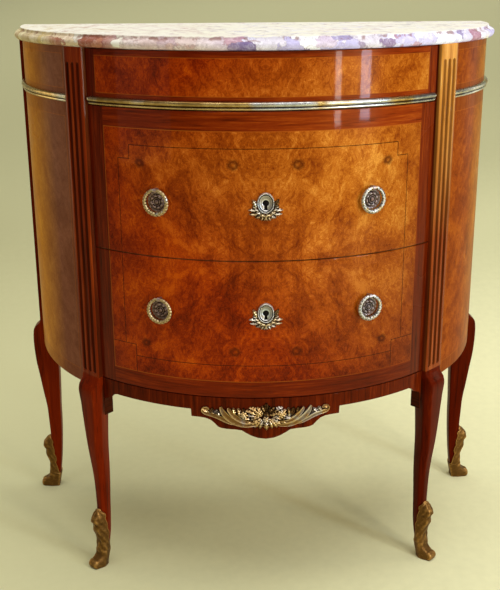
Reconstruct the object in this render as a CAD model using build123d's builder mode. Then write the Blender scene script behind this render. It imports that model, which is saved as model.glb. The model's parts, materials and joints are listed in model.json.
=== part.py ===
# Demi-lune commode chest: a marble top, three bow-fronted drawers, fluted stiles on cabriole legs
# Millimetres, +Z up, the front faces -Y, the floor is at Z 0, and the plan is centred on the origin
import math
import os

from build123d import *

os.makedirs("parts", exist_ok=True)

# Overall sizes
marble_overhang = 12.0
marble_thickness = 18.0
case_radius = 390.0
case_bottom = 345.0
lower_front_height = 212.5
upper_front_height = 213.5
frieze_front_height = 81.0
overrun = 60.0

# Walls and clearances
panel_thickness = 18.0
front_thickness = 20.0
shelf_thickness = 12.0
shelf_setback = 1.0
board_gap = 0.3
side_gap = 0.6
reveal = 1.5
slide_gap = 0.3

# Front stiles and the legs under them
stile_angle = 43.4
stile_width = 41.0
stile_depth = 37.5
stile_stand = 7.5
flute_radius = 3.6
flute_pitch = 11.6
flute_count = 3
flute_sides = 10
flute_top_margin = 25.0
flute_bottom_margin = 9.0
leg_swing = 12.0
leg_spacing = 13.0
sole_thickness = 4.0

# Rear stiles
rear_stile_width = 25.0
rear_stile_depth = 28.0

# Drawer boxes
box_side_gap = 4.5
box_wall = 9.0
box_bottom_thickness = 6.0
box_bottom_rise = 9.0
box_groove = 3.0
box_back_inset = 18.0
box_top_gap = 3.0
box_back_drop = 4.0
guide_width = 12.0
guide_height = 14.0
guide_gap = 1.0
stop_height = 6.0
stop_width = 10.0
stop_angle = 22.0
stop_width_angle = 5.0

# Framed back
back_thickness = 12.0
back_board_thickness = 6.0
back_rail_height = 60.0
back_muntin_width = 60.0
back_tongue = 7.0

# Apron and its lower edge
apron_bottom = 322.5
apron_drop = 44.5
block_size = 22.0
block_height = 10.0
block_count = 5
block_step_angle = 13.0

# Brass mouldings
moulding_height = 12.0
moulding_back = 2.5
moulding_end_gap = 3.0

# Ring handles
handle_angle = 23.1
upper_handle_rise = 82.5
lower_handle_rise = 132.0
ring_radius = 17.3
ring_tube = 3.7
ring_thin_share = 0.72
ring_sides = 6
ring_sections = 22
ring_stand = 6.5
ring_cut = 5.8
pin_radius = 2.0
pin_reach = 7.2
pin_clearance = 0.05
knuckle_width = 8.8
knuckle_wall = 2.4
rosette_radius = 12.5
rosette_rim = 2.0
rosette_dome = 5.0
rosette_petals = 8
stud_radius = 2.4
stud_sides = 8
stud_clearance = 0.1
stud_end = 3.0
nut_flats = 9.0
nut_thickness = 4.0

# Locks
upper_key_rise = 85.5
lower_key_rise = 135.0
lock_width = 50.0
lock_height = 46.0
lock_depth = 15.0
lock_recess = 2.0
lock_neck_width = 20.0
lock_neck_step = 2.5
lock_clearance = 0.2
bolt_width = 12.0
bolt_thickness = 5.0
bolt_inset = 9.0
bolt_start = 8.0
bolt_top_gap = 1.5
bolt_throw = 8.0
keeper_width = 30.0
keeper_depth = 11.5
keeper_thickness = 2.0
keeper_slot_gap = 0.6
mortise_spare = 1.0
key_radius = 2.0
key_slot_width = 1.8
key_slot_length = 6.5
key_depth = 10.0
key_sides = 12
plate_key_radius = 3.0
plate_key_width = 2.6
plate_key_length = 9.0
escutcheon_half_width = 11.5
escutcheon_half_height = 15.0
escutcheon_thickness = 2.4
leaf_count = 4
leaf_length = 14.0
leaf_width = 6.0
leaf_reach = 16.0
leaf_drop = 21.0
leaf_first_angle = 8.0
leaf_step_angle = 26.0
leaf_lean_angle = 18.0

# Apron mount
mount_half_width = 98.0
mount_height = 46.0
mount_thickness = 6.0

# Sabots
sabot_height = 105.0
sabot_swing = 21.0
sabot_spacing = 10.0
sabot_wall = 2.0

# Worked out from the sizes above
marble_radius = case_radius + marble_overhang
back_y = marble_radius / 2
lower_split = case_bottom + lower_front_height
upper_split = lower_split + upper_front_height
marble_bottom = upper_split + frieze_front_height
total_height = marble_bottom + marble_thickness
panel_inner = case_radius - panel_thickness
front_inner = case_radius - front_thickness
board_radius = panel_inner - board_gap
shelf_radius = front_inner - shelf_setback
face_radius = case_radius + stile_stand
stile_inner = face_radius - stile_depth
rear_face = case_radius + stile_stand
rear_inner = rear_face - rear_stile_width
bottom_board_z = case_bottom - shelf_thickness
lower_shelf_z = lower_split - shelf_thickness / 2
upper_shelf_z = upper_split - shelf_thickness / 2
top_board_z = marble_bottom - shelf_thickness
apron_low = apron_bottom - apron_drop
moulding_depth = moulding_back + moulding_height / 3
stile_corner = (
    stile_inner * math.sin(math.radians(stile_angle))
    - stile_width / 2 * math.cos(math.radians(stile_angle))
)
box_half_width = stile_corner - box_side_gap
upper_handle_height = lower_split + upper_handle_rise
lower_handle_height = case_bottom + lower_handle_rise
upper_key_height = lower_split + upper_key_rise
lower_key_height = case_bottom + lower_key_rise


def plan(height):
    """A level plane whose origin is the centre of the half round."""
    return Plane(origin=(0, back_y, height))


def radial_level(angle, height, shift=0.0):
    """A level plane whose X runs out along a radius and Y along the tangent."""
    a = math.radians(angle)
    origin = (shift * math.cos(a), back_y + shift * math.sin(a), height)
    return Plane(origin=origin, x_dir=(math.sin(a), -math.cos(a), 0), z_dir=(0, 0, 1))


def radial_section(angle):
    """An upright plane through the centre line: X is the radius, Y the height."""
    a = math.radians(angle)
    return Plane(
        origin=(0, back_y, 0),
        x_dir=(math.sin(a), -math.cos(a), 0),
        z_dir=(-math.cos(a), -math.sin(a), 0),
    )


def face_plane(angle, height, radius):
    """A plane tangent to the front: X along it, Y up, Z outward."""
    a = math.radians(angle)
    origin = (radius * math.sin(a), back_y - radius * math.cos(a), height)
    return Plane(
        origin=origin,
        x_dir=(math.cos(a), math.sin(a), 0),
        z_dir=(math.sin(a), -math.cos(a), 0),
    )


def hinge_plane(angle, height, radius):
    """A plane square to the tangent: X is outward, Y up, Z along the tangent backwards."""
    a = math.radians(angle)
    origin = (radius * math.sin(a), back_y - radius * math.cos(a), height)
    return Plane(
        origin=origin,
        x_dir=(math.sin(a), -math.cos(a), 0),
        z_dir=(-math.cos(a), -math.sin(a), 0),
    )


def beside_stile(radius, gap):
    """The angle at which a radius meets the side of a front stile, less a gap."""
    return stile_angle - math.degrees(math.asin((stile_width / 2 + gap) / radius))


def behind_stile(radius, gap):
    """The angle at which a radius leaves the far side of a front stile, plus a gap."""
    return stile_angle + math.degrees(math.asin((stile_width / 2 + gap) / radius))


def sector(outer, inner, outer_from, outer_to, inner_from, inner_to):
    """A curved strip between two radii, with angles counted from the front to the right."""
    with BuildLine() as outline:
        far = CenterArc((0, 0), outer, outer_from - 90, outer_to - outer_from)
        near = CenterArc((0, 0), inner, inner_from - 90, inner_to - inner_from)
        Line(far @ 0, near @ 0)
        Line(far @ 1, near @ 1)
    make_face(outline.edges())


def bow(outer, inner, gap):
    """The plan of a bowed front that stands between the two front stiles."""
    far = beside_stile(outer, gap)
    near = beside_stile(inner, gap)
    sector(outer, inner, -far, far, -near, near)


def save(builder, name):
    builder.part.label = name
    export_step(builder.part, f"parts/{name}.step")


def save_mirrored(builder, name):
    with BuildPart() as other:
        mirror(builder.part, about=Plane.YZ)
    save(other, name)


# Marble top with a moulded edge
edge_cove_share = 0.28
edge_lip_share = 0.12
with BuildPart() as marble:
    with BuildSketch(radial_section(-90)):
        with BuildLine():
            top_lip = marble_radius - marble_thickness * edge_cove_share
            low_lip = marble_radius - marble_thickness * edge_lip_share
            lip_z = total_height - marble_thickness * edge_lip_share
            cove_z = total_height - marble_thickness * edge_cove_share
            belly_z = (marble_bottom + cove_z) / 2
            Polyline((0, marble_bottom), (0, total_height), (top_lip, total_height), (top_lip, lip_z))
            RadiusArc((top_lip, lip_z), (low_lip, cove_z), marble_thickness * edge_cove_share)
            ThreePointArc((low_lip, cove_z), (marble_radius, belly_z), (low_lip, marble_bottom))
            Line((low_lip, marble_bottom), (0, marble_bottom))
        make_face()
    revolve(axis=Axis((0, back_y, 0), (0, 0, 1)), revolution_arc=180)
save(marble, "marble_top")


# Boards that fill the half round, notched round the stiles
def board(name, height, front_radius):
    with BuildPart() as piece:
        with BuildSketch(plan(height)):
            with BuildLine():
                rim = CenterArc((0, 0), board_radius, -180, 180)
                Line(rim @ 0, rim @ 1)
            make_face()
        extrude(amount=shelf_thickness)
        if front_radius < board_radius:
            with BuildSketch(plan(height)):
                sector(case_radius, front_radius, -stile_angle, stile_angle, -stile_angle, stile_angle)
            extrude(amount=shelf_thickness, mode=Mode.SUBTRACT)
        with BuildSketch(plan(height)):
            with Locations((0, -back_thickness / 2)):
                Rectangle(2 * case_radius, back_thickness + 2 * board_gap)
        extrude(amount=shelf_thickness, mode=Mode.SUBTRACT)
        for angle in (-stile_angle, stile_angle):
            with BuildSketch(radial_level(angle, height)):
                with Locations((stile_inner + stile_depth / 2, 0)):
                    Rectangle(stile_depth + 2 * board_gap, stile_width + 2 * board_gap)
            extrude(amount=shelf_thickness, mode=Mode.SUBTRACT)
        for height_above, slot in lock_slots(height):
            with BuildSketch(plan(height + height_above)):
                with Locations((0, slot_y)):
                    Rectangle(slot[0], slot[1])
            extrude(amount=slot[2], mode=Mode.SUBTRACT)
    save(piece, name)


# The bolt of each lock stands behind the drawer front, under the shelf above
bolt_y = -(front_inner - bolt_inset / 2 - bolt_thickness / 2)
slot_y = bolt_y
mortise_depth = bolt_throw - bolt_top_gap + mortise_spare


def lock_slots(height):
    """The keeper's recess and the mortise above it, cut in a shelf from below."""
    if height not in (lower_shelf_z, upper_shelf_z):
        return []
    recess = (keeper_width, keeper_depth, keeper_thickness)
    mortise = (bolt_width + 2 * keeper_slot_gap, bolt_thickness + 2 * keeper_slot_gap, mortise_depth)
    return [(0, recess), (0, mortise)]


board("bottom_board", bottom_board_z, board_radius)
board("lower_dust_board", lower_shelf_z, shelf_radius)
board("upper_dust_board", upper_shelf_z, shelf_radius)
board("top_board", top_board_z, shelf_radius)

# Keeper plates that the bolts enter
with BuildPart() as keepers:
    for height in (lower_shelf_z, upper_shelf_z):
        with BuildSketch(plan(height)):
            with Locations((0, slot_y)):
                Rectangle(keeper_width, keeper_depth)
                Rectangle(
                    bolt_width + 2 * keeper_slot_gap,
                    bolt_thickness + 2 * keeper_slot_gap,
                    mode=Mode.SUBTRACT,
                )
        extrude(amount=keeper_thickness)
save(keepers, "lock_keepers")


# Cabriole leg as lofted sections, each a six-sided figure whose face looks outward
# Shares: height of the case, swing, face width, middle width, back width, thickness
front_leg_shares = (
    (1.0, 0.0, 0.97, 1.0, 0.96, 1.0),
    (0.977, 0.12, 0.96, 1.0, 0.9, 0.99),
    (0.954, 0.72, 0.93, 1.0, 0.74, 1.03),
    (0.922, 0.98, 0.88, 1.0, 0.56, 1.06),
    (0.87, 0.87, 0.79, 1.0, 0.45, 1.02),
    (0.742, 0.71, 0.63, 0.92, 0.35, 0.93),
    (0.632, 0.54, 0.48, 0.78, 0.3, 0.85),
    (0.464, 0.0, 0.36, 0.63, 0.25, 0.69),
    (0.316, -0.17, 0.3, 0.56, 0.22, 0.59),
    (0.174, -0.12, 0.3, 0.54, 0.22, 0.55),
    (0.072, 0.13, 0.3, 0.53, 0.22, 0.48),
    (0.0, 0.42, 0.3, 0.5, 0.22, 0.4),
)
rear_leg_shares = (
    (1.0, 0.0, 0.96, 1.0, 0.97, 1.0),
    (0.98, 0.15, 0.95, 1.0, 0.96, 1.03),
    (0.957, 0.9, 0.94, 1.0, 0.95, 1.41),
    (0.93, 1.17, 0.93, 1.0, 0.93, 1.53),
    (0.865, 1.25, 0.92, 0.99, 0.9, 1.68),
    (0.76, 1.08, 0.88, 0.97, 0.88, 1.62),
    (0.68, 0.75, 0.84, 0.95, 0.86, 1.46),
    (0.571, 0.33, 0.78, 0.91, 0.82, 1.22),
    (0.481, -0.04, 0.72, 0.86, 0.78, 1.0),
    (0.388, -0.17, 0.68, 0.82, 0.74, 0.92),
    (0.304, -0.25, 0.64, 0.79, 0.7, 0.84),
    (0.174, -0.08, 0.62, 0.78, 0.68, 0.8),
    (0.072, 0.17, 0.62, 0.78, 0.68, 0.76),
    (0.0, 0.42, 0.6, 0.76, 0.66, 0.68),
)
middle_share = 0.3


def smoothed(rows, height, spacing):
    """The rows of a table of shares, filled in with smooth steps no longer than a spacing."""
    rows = sorted(rows)
    slopes = []
    for index in range(len(rows)):
        after = rows[min(index + 1, len(rows) - 1)]
        before = rows[max(index - 1, 0)]
        slopes.append([(b - a) / (after[0] - before[0]) for a, b in zip(before, after)])
    filled = [rows[0]]
    for index in range(len(rows) - 1):
        low, high = rows[index], rows[index + 1]
        span = high[0] - low[0]
        steps = max(1, math.ceil(span * height / spacing))
        for step in range(1, steps + 1):
            t = step / steps
            rise = t * t * (3 - 2 * t)
            lead = t * (1 - t) * (1 - t) * span
            trail = t * t * (1 - t) * span
            filled.append(
                [
                    a + (b - a) * rise + lead * m - trail * n
                    for a, b, m, n in zip(low, high, slopes[index], slopes[index + 1])
                ]
            )
    return filled


def six_sided(plane, outer, face, waist, middle, inner, back):
    """One level section: half widths at its outer face, its waist and its inner face."""
    with BuildSketch(plane) as section:
        Polygon(
            (outer, -face),
            (outer, face),
            (waist, middle),
            (inner, back),
            (inner, -back),
            (waist, -middle),
            align=None,
        )
    return section.sketch


def leg_corners(row, face, width, depth):
    """Where a row of a leg's table puts the outer face, the waist and the inner face."""
    swing, face_share, middle_width_share, back_share, depth_share = row[1:]
    outer = face + leg_swing * swing
    thickness = depth * depth_share
    return (
        outer,
        width / 2 * face_share,
        outer - thickness * middle_share,
        width / 2 * middle_width_share,
        outer - thickness,
        width / 2 * back_share,
    )


def leg_sections(shares, level, face, width, depth):
    """The leg under a stile, from the case down to the sole of its sabot."""
    return [
        six_sided(
            level(sole_thickness + (case_bottom - sole_thickness) * row[0]),
            *leg_corners(row, face, width, depth),
        )
        for row in smoothed(shares, case_bottom, leg_spacing)
    ]


def leg_row(shares, height):
    """The row that a leg's table gives at a height, between the two rows it lies among."""
    share = max(0, (height - sole_thickness) / (case_bottom - sole_thickness))
    rows = smoothed(shares, case_bottom, leg_spacing)
    low, high = next(pair for pair in zip(rows, rows[1:]) if share <= pair[1][0])
    part_share = (share - low[0]) / (high[0] - low[0])
    return [a + (b - a) * part_share for a, b in zip(low, high)]


def front_level(height):
    return radial_level(stile_angle, height)


def rear_level(height):
    return radial_level(90, height, -rear_stile_depth / 2)


# Right front stile: a canted pilaster with stopped, round-ended flutes on its leg
flute_low = case_bottom + flute_bottom_margin
flute_high = marble_bottom - flute_top_margin
flute_end_shares = ((1.0, 0.2), (0.7, 0.7), (0.0, 1.0))


def flute_sections(across):
    """Level sections of one flute's cutter, drawn in at both ends."""
    lower_end = [(flute_low - flute_radius * rise, width) for rise, width in flute_end_shares]
    upper_end = [(flute_high + flute_radius * rise, width) for rise, width in flute_end_shares]
    sections = []
    for height, width_share in lower_end + upper_end[::-1]:
        with BuildSketch(front_level(height)) as section:
            with Locations((face_radius, across)):
                RegularPolygon(flute_radius * width_share, flute_sides)
        sections.append(section.sketch)
    return sections


with BuildPart() as front_stile:
    loft(leg_sections(front_leg_shares, front_level, face_radius, stile_width, stile_depth), ruled=True)
    with BuildSketch(front_level(case_bottom)):
        with Locations((face_radius - stile_depth / 2, 0)):
            Rectangle(stile_depth, stile_width)
    extrude(amount=marble_bottom - case_bottom)
    for index in range(flute_count):
        across = (index - (flute_count - 1) / 2) * flute_pitch
        loft(flute_sections(across), ruled=True, mode=Mode.SUBTRACT)
save(front_stile, "front_right_stile")
save_mirrored(front_stile, "front_left_stile")

# Right rear stile: a square post on its leg
with BuildPart() as rear_stile:
    loft(leg_sections(rear_leg_shares, rear_level, rear_face, rear_stile_depth, rear_stile_width), ruled=True)
    with BuildSketch(rear_level(case_bottom)):
        with Locations((rear_face - rear_stile_width / 2, 0)):
            Rectangle(rear_stile_width, rear_stile_depth)
    extrude(amount=marble_bottom - case_bottom)
save(rear_stile, "rear_right_stile")
save_mirrored(rear_stile, "rear_left_stile")

# Sabots: a wall round the leg, a scroll toe, a leaf that curls away at its tip
# Shares: sabot height, sabot swing
sabot_shares = (
    (0.0, 0.86),
    (0.06, 1.0),
    (0.14, 1.0),
    (0.2, 0.86),
    (0.26, 0.4),
    (0.34, 0.2),
    (0.48, 0.14),
    (0.7, 0.36),
    (0.82, 0.46),
    (0.92, 0.3),
    (1.0, 0.02),
)
leaf_top_share = 0.16
leaf_heel_share = 0.74
heel_height_share = 0.2


def sabot(name, level, face, leg_shares, width, depth, stile):
    sections = []
    for height, swing in smoothed(sabot_shares, sabot_height, sabot_spacing):
        row = leg_row(leg_shares, sabot_height * height)
        outer, half, waist, middle, inner, back = leg_corners(row, face, width, depth)
        sections.append(
            six_sided(
                level(sabot_height * height),
                max(face + sabot_swing * swing, outer + sabot_wall),
                half + sabot_wall,
                waist,
                middle + sabot_wall,
                inner - sabot_wall,
                back + sabot_wall,
            )
        )
    with BuildPart() as shoe:
        loft(sections, ruled=True)
        section = level(0)
        cut_plane = Plane(origin=section.origin, x_dir=section.x_dir, z_dir=-section.y_dir)
        with BuildSketch(cut_plane):
            Polygon(
                (face - stile_depth * leaf_top_share, sabot_height + overrun),
                (face - stile_depth * leaf_top_share, sabot_height),
                (face - stile_depth * leaf_heel_share, sabot_height * heel_height_share),
                (face - stile_depth - overrun, sabot_height * heel_height_share),
                (face - stile_depth - overrun, sabot_height + overrun),
                align=None,
            )
        extrude(amount=width, both=True, mode=Mode.SUBTRACT)
        add(stile.part, mode=Mode.SUBTRACT)
    save(shoe, name)
    return shoe


front_sabot = sabot(
    "front_right_sabot",
    front_level,
    face_radius,
    front_leg_shares,
    stile_width,
    stile_depth,
    front_stile,
)
save_mirrored(front_sabot, "front_left_sabot")
rear_sabot = sabot(
    "rear_right_sabot",
    rear_level,
    rear_face,
    rear_leg_shares,
    rear_stile_depth,
    rear_stile_width,
    rear_stile,
)
save_mirrored(rear_sabot, "rear_left_sabot")

# Curved side panel, from the front stile to the rear stile
rear_stop_outer = math.degrees(math.acos(rear_stile_depth / case_radius))
rear_stop_inner = math.degrees(math.acos(rear_stile_depth / panel_inner))
with BuildPart() as side_panel:
    with BuildSketch(plan(apron_bottom)):
        sector(
            case_radius,
            panel_inner,
            behind_stile(case_radius, 0),
            rear_stop_outer,
            behind_stile(panel_inner, 0),
            rear_stop_inner,
        )
    extrude(amount=marble_bottom - apron_bottom)
save(side_panel, "right_side_panel")
save_mirrored(side_panel, "left_side_panel")

# Apron, its lower edge sawn to shape from the front
# Shares of the half width between the stiles, and of the drop below the plain edge
apron_half = case_radius * math.sin(math.radians(beside_stile(case_radius, 0)))
ear_shares = ((0.85, 0.0), (0.885, 0.19), (0.965, 0.36), (0.99, 0.7), (1.0, 1.0))
step_share = 0.44
step_drop_share = 0.26
tongue_shares = ((0.36, 0.3), (0.31, 0.44), (0.285, 0.6), (0.24, 0.65), (0.145, 0.68))
drip_shares = ((0.125, 0.78), (0.07, 0.91), (0.0, 1.0))


def apron_point(share, drop_share):
    return (apron_half * share, apron_bottom - apron_drop * drop_share)


with BuildPart() as apron:
    with BuildSketch(plan(apron_low)):
        bow(case_radius, panel_inner, 0)
    extrude(amount=case_bottom - board_gap * 2 - apron_low)
    front_cut = Plane(origin=(0, back_y, 0), x_dir=(1, 0, 0), z_dir=(0, -1, 0))
    with BuildSketch(front_cut):
        with BuildLine():
            ear = Polyline(*[apron_point(x, d) for x, d in ear_shares])
            plain = Line(ear @ 0, apron_point(step_share, 0))
            step = Line(plain @ 1, apron_point(step_share, step_drop_share))
            shelf = Line(step @ 1, apron_point(step_share - step_drop_share / 6, step_drop_share))
            tongue = Polyline(shelf @ 1, *[apron_point(x, d) for x, d in tongue_shares])
            drip = Polyline(tongue @ 1, *[apron_point(x, d) for x, d in drip_shares])
            Line((0, apron_low - overrun), (apron_half + overrun, apron_low - overrun))
            Line((apron_half + overrun, apron_low - overrun), (apron_half + overrun, apron_low))
            Line((apron_half + overrun, apron_low), ear @ 1)
            mirror(about=Plane.YZ)
        make_face()
    extrude(amount=case_radius + overrun, mode=Mode.SUBTRACT)
save(apron, "apron")

# Blocks glued under the bottom board, behind the apron
with BuildPart() as blocks:
    for index in range(block_count):
        angle = (index - (block_count - 1) / 2) * block_step_angle
        with BuildSketch(radial_level(angle, bottom_board_z - block_height)):
            with Locations((board_radius - block_size / 2 - board_gap, 0)):
                Rectangle(block_size, block_size)
        extrude(amount=block_height)
save(blocks, "glue_blocks")

# Framed back with two boards let into grooves
back_low = bottom_board_z
back_high = marble_bottom
back_half = rear_inner
window_width = (2 * back_half - 3 * back_muntin_width) / 2
window_height = back_high - back_low - 2 * back_rail_height
window_x = (window_width + back_muntin_width) / 2
window_z = (back_low + back_high) / 2
back_plane = Plane(origin=(0, back_y, 0), x_dir=(1, 0, 0), z_dir=(0, -1, 0))
with BuildPart() as back_boards:
    with BuildSketch(back_plane.offset((back_thickness - back_board_thickness) / 2)):
        with Locations((-window_x, window_z), (window_x, window_z)):
            Rectangle(window_width + 2 * back_tongue, window_height + 2 * back_tongue)
    extrude(amount=back_board_thickness)
save(back_boards, "back_boards")
with BuildPart() as back_frame:
    with BuildSketch(back_plane):
        with Locations((0, window_z)):
            Rectangle(2 * back_half, back_high - back_low)
        with Locations((-window_x, window_z), (window_x, window_z)):
            Rectangle(window_width, window_height, mode=Mode.SUBTRACT)
    extrude(amount=back_thickness)
    add(back_boards.part, mode=Mode.SUBTRACT)
save(back_frame, "back_frame")

# Strips that guide the drawer boxes, and stops that hold the fronts flush
guide_back = back_thickness + board_gap
guide_front = stile_inner * math.cos(math.radians(stile_angle)) - stile_width / 2
guide_length = guide_front - guide_back
shelf_tops = (case_bottom, lower_shelf_z + shelf_thickness, upper_shelf_z + shelf_thickness)
with BuildPart() as guides:
    for height in shelf_tops:
        with BuildSketch(plan(height)):
            for side in (-1, 1):
                across = side * (box_half_width + guide_gap + guide_width / 2)
                with Locations((across, -guide_back - guide_length / 2)):
                    Rectangle(guide_width, guide_length)
        extrude(amount=guide_height)
save(guides, "drawer_guides")
with BuildPart() as stops:
    for height in shelf_tops:
        for angle in (-stop_angle, stop_angle):
            with BuildSketch(plan(height)):
                low = angle - stop_width_angle / 2
                high = angle + stop_width_angle / 2
                outer = front_inner - shelf_setback
                sector(outer, outer - stop_width, low, high, low, high)
            extrude(amount=stop_height)
save(stops, "drawer_stops")


# Brass mouldings: a large bead over a small one on a flat strip
# Shares of the strip's height, and of the way from its face to the crown of the large bead
bead_shares = (
    (0.0, 0.0),
    (0.08, 0.38),
    (0.17, 0.5),
    (0.26, 0.38),
    (0.33, 0.0),
    (0.37, 0.55),
    (0.5, 0.87),
    (0.67, 1.0),
    (0.84, 0.87),
    (0.96, 0.55),
    (1.0, 0.0),
)


def moulding_profile(angle, low, radius):
    face = radius + moulding_back
    beads = [
        (face + (moulding_depth - moulding_back) * out_share, low + moulding_height * rise_share)
        for rise_share, out_share in bead_shares
    ]
    with BuildSketch(radial_section(angle)) as profile:
        Polygon((radius, low), *beads, (radius, low + moulding_height), align=None)
    return profile.sketch


moulding_low = upper_split
side_from = behind_stile(case_radius, board_gap)
side_to = math.degrees(math.acos((rear_stile_depth + board_gap) / case_radius))
with BuildPart() as side_moulding:
    side_profile = moulding_profile(side_from, moulding_low, case_radius)
    revolve(side_profile, axis=Axis((0, back_y, 0), (0, 0, 1)), revolution_arc=side_to - side_from)
save(side_moulding, "right_side_moulding")
save_mirrored(side_moulding, "left_side_moulding")

front_moulding_half = beside_stile(case_radius + moulding_depth, moulding_end_gap)
with BuildPart() as frieze_moulding:
    front_profile = moulding_profile(-front_moulding_half, moulding_low + reveal / 2, case_radius)
    revolve(front_profile, axis=Axis((0, back_y, 0), (0, 0, 1)), revolution_arc=2 * front_moulding_half)
save(frieze_moulding, "frieze_moulding")

# Gilt mount on the apron: two scrolls that sweep up from a leaf cluster
mount_drop_share = 0.65
mount_low = apron_bottom - mount_height * mount_drop_share
mount_half_angle = math.degrees(math.asin((mount_half_width + mount_thickness) / case_radius))
scroll_shares = ((0.16, 0.1), (0.42, 0.2), (0.72, 0.5), (0.93, 0.52), (1.0, 0.66))
return_shares = ((0.92, 0.76), (0.76, 0.72), (0.58, 0.66), (0.42, 0.82), (0.2, 0.84))
crest_shares = ((0.12, 0.9), (0.0, 1.0))


def mount_point(share, rise_share):
    return (mount_half_width * share, mount_low + mount_height * rise_share)


with BuildPart() as apron_mount:
    with BuildSketch(plan(mount_low)):
        reach = mount_half_angle
        sector(case_radius + mount_thickness, case_radius, -reach, reach, -reach, reach)
    extrude(amount=mount_height)
    with BuildSketch(front_cut):
        with BuildLine():
            under = Polyline(mount_point(0, 0), *[mount_point(x, z) for x, z in scroll_shares])
            over = Polyline(under @ 1, *[mount_point(x, z) for x, z in return_shares])
            Polyline(over @ 1, *[mount_point(x, z) for x, z in crest_shares])
            mirror(about=Plane.YZ)
        make_face()
    extrude(amount=case_radius + overrun, mode=Mode.INTERSECT)
save(apron_mount, "apron_mount")


# Drawers: a bowed front on a square box
def box_plan(half_width, back_edge, radius):
    """The part of a strip across the box that lies behind a given radius."""
    with Locations((0, -back_edge - radius / 2)):
        Rectangle(2 * half_width, radius)
    Circle(radius, mode=Mode.INTERSECT)


def drawer(name, low, high, floor, roof, key_height=None, handle_height=None):
    side_low = floor + slide_gap
    side_high = roof - box_top_gap
    bottom_z = side_low + box_bottom_rise
    back_edge = back_thickness + box_back_inset
    inner_half = box_half_width - box_wall

    with BuildPart() as bottom:
        with BuildSketch(plan(bottom_z)):
            box_plan(inner_half + box_groove, back_edge, front_inner + box_groove)
        extrude(amount=box_bottom_thickness)
    save(bottom, f"{name}_bottom")

    with BuildPart() as back:
        with BuildSketch(plan(bottom_z + box_bottom_thickness)):
            with Locations((0, -back_edge - box_wall / 2)):
                Rectangle(2 * inner_half, box_wall)
        extrude(amount=side_high - box_back_drop - bottom_z - box_bottom_thickness)
    save(back, f"{name}_back")

    with BuildPart() as side:
        with BuildSketch(plan(side_low)):
            box_plan(box_half_width, back_edge, front_inner)
            with Locations((-box_wall, -front_inner / 2)):
                Rectangle(2 * box_half_width, 2 * front_inner, mode=Mode.SUBTRACT)
        extrude(amount=side_high - side_low)
        add(bottom.part, mode=Mode.SUBTRACT)
    save(side, f"{name}_right_side")
    save_mirrored(side, f"{name}_left_side")

    with BuildPart() as front:
        with BuildSketch(plan(low)):
            bow(case_radius, front_inner, side_gap)
        extrude(amount=high - low)
        add(bottom.part, mode=Mode.SUBTRACT)
        if handle_height:
            for angle in (-handle_angle, handle_angle):
                with BuildSketch(face_plane(angle, handle_height, case_radius + overrun)):
                    RegularPolygon(stud_radius + stud_clearance, stud_sides)
                extrude(amount=-front_thickness - 2 * overrun, mode=Mode.SUBTRACT)
        if key_height:
            with BuildSketch(face_plane(0, key_height, front_inner + lock_recess)):
                Rectangle(lock_width + 2 * lock_clearance, lock_height + 2 * lock_clearance)
            extrude(amount=-lock_depth, mode=Mode.SUBTRACT)
            with BuildSketch(face_plane(0, key_height, case_radius + overrun)):
                keyhole(key_radius, key_slot_width, key_slot_length)
            extrude(amount=-front_thickness - 2 * overrun, mode=Mode.SUBTRACT)
    save(front, f"{name}_front")


def keyhole(radius, width, length, mode=Mode.ADD):
    RegularPolygon(radius, key_sides, mode=mode)
    with Locations((0, -length / 2)):
        Rectangle(width, length, mode=mode)


drawer("frieze_drawer", upper_split + reveal / 2, marble_bottom - reveal, shelf_tops[2], top_board_z)
drawer(
    "upper_drawer",
    lower_split + reveal / 2,
    upper_split - reveal / 2,
    shelf_tops[1],
    upper_shelf_z,
    upper_key_height,
    upper_handle_height,
)
drawer(
    "lower_drawer",
    case_bottom + reveal / 2,
    lower_split - reveal / 2,
    shelf_tops[0],
    lower_shelf_z,
    lower_key_height,
    lower_handle_height,
)


# Locks: a case let into the drawer front, and a long bolt that rises into the shelf above
def lock(name, key_height, roof):
    bolt_low = key_height + bolt_start
    case_y = -(front_inner + lock_recess)
    with BuildPart() as bolt:
        with BuildSketch(plan(bolt_low)):
            with Locations((0, bolt_y)):
                Rectangle(bolt_width, bolt_thickness)
        extrude(amount=roof - bolt_top_gap - bolt_low)
    save(bolt, f"{name}_lock_bolt")

    with BuildPart() as case:
        with BuildSketch(plan(key_height - lock_height / 2)):
            with Locations((0, case_y + lock_depth / 2)):
                Rectangle(lock_width, lock_depth)
        extrude(amount=lock_height)
        neck_depth = lock_depth - lock_recess - lock_neck_step
        with BuildSketch(plan(key_height)):
            with Locations((0, case_y + lock_depth - neck_depth / 2)):
                Rectangle(lock_neck_width, neck_depth)
        extrude(amount=roof - 2 * box_top_gap - key_height)
        with BuildSketch(plan(bolt_low - bolt_clear)):
            with Locations((0, bolt_y)):
                Rectangle(bolt_width + 2 * bolt_clear, bolt_thickness + 2 * bolt_clear)
        extrude(amount=roof - key_height, mode=Mode.SUBTRACT)
        with BuildSketch(face_plane(0, key_height, case_radius)):
            keyhole(key_radius, key_slot_width, key_slot_length)
        extrude(amount=-(front_thickness - lock_recess + key_depth), mode=Mode.SUBTRACT)
    save(case, f"{name}_lock_case")


bolt_clear = lock_clearance


# Escutcheon: an oval plate on a spray of leaves, with the keyhole through it
# Shares of a leaf's length from its middle, and of its half width
leaf_shares = ((-0.5, 0.3), (-0.1, 1.0), (0.2, 0.8), (0.5, 0.0), (0.2, -0.8), (-0.1, -1.0), (-0.5, -0.3))


def leaf(side):
    points = [
        (side * leaf_length * along, leaf_width / 2 * out) for along, out in leaf_shares
    ]
    Polygon(*points, align=None)


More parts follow.
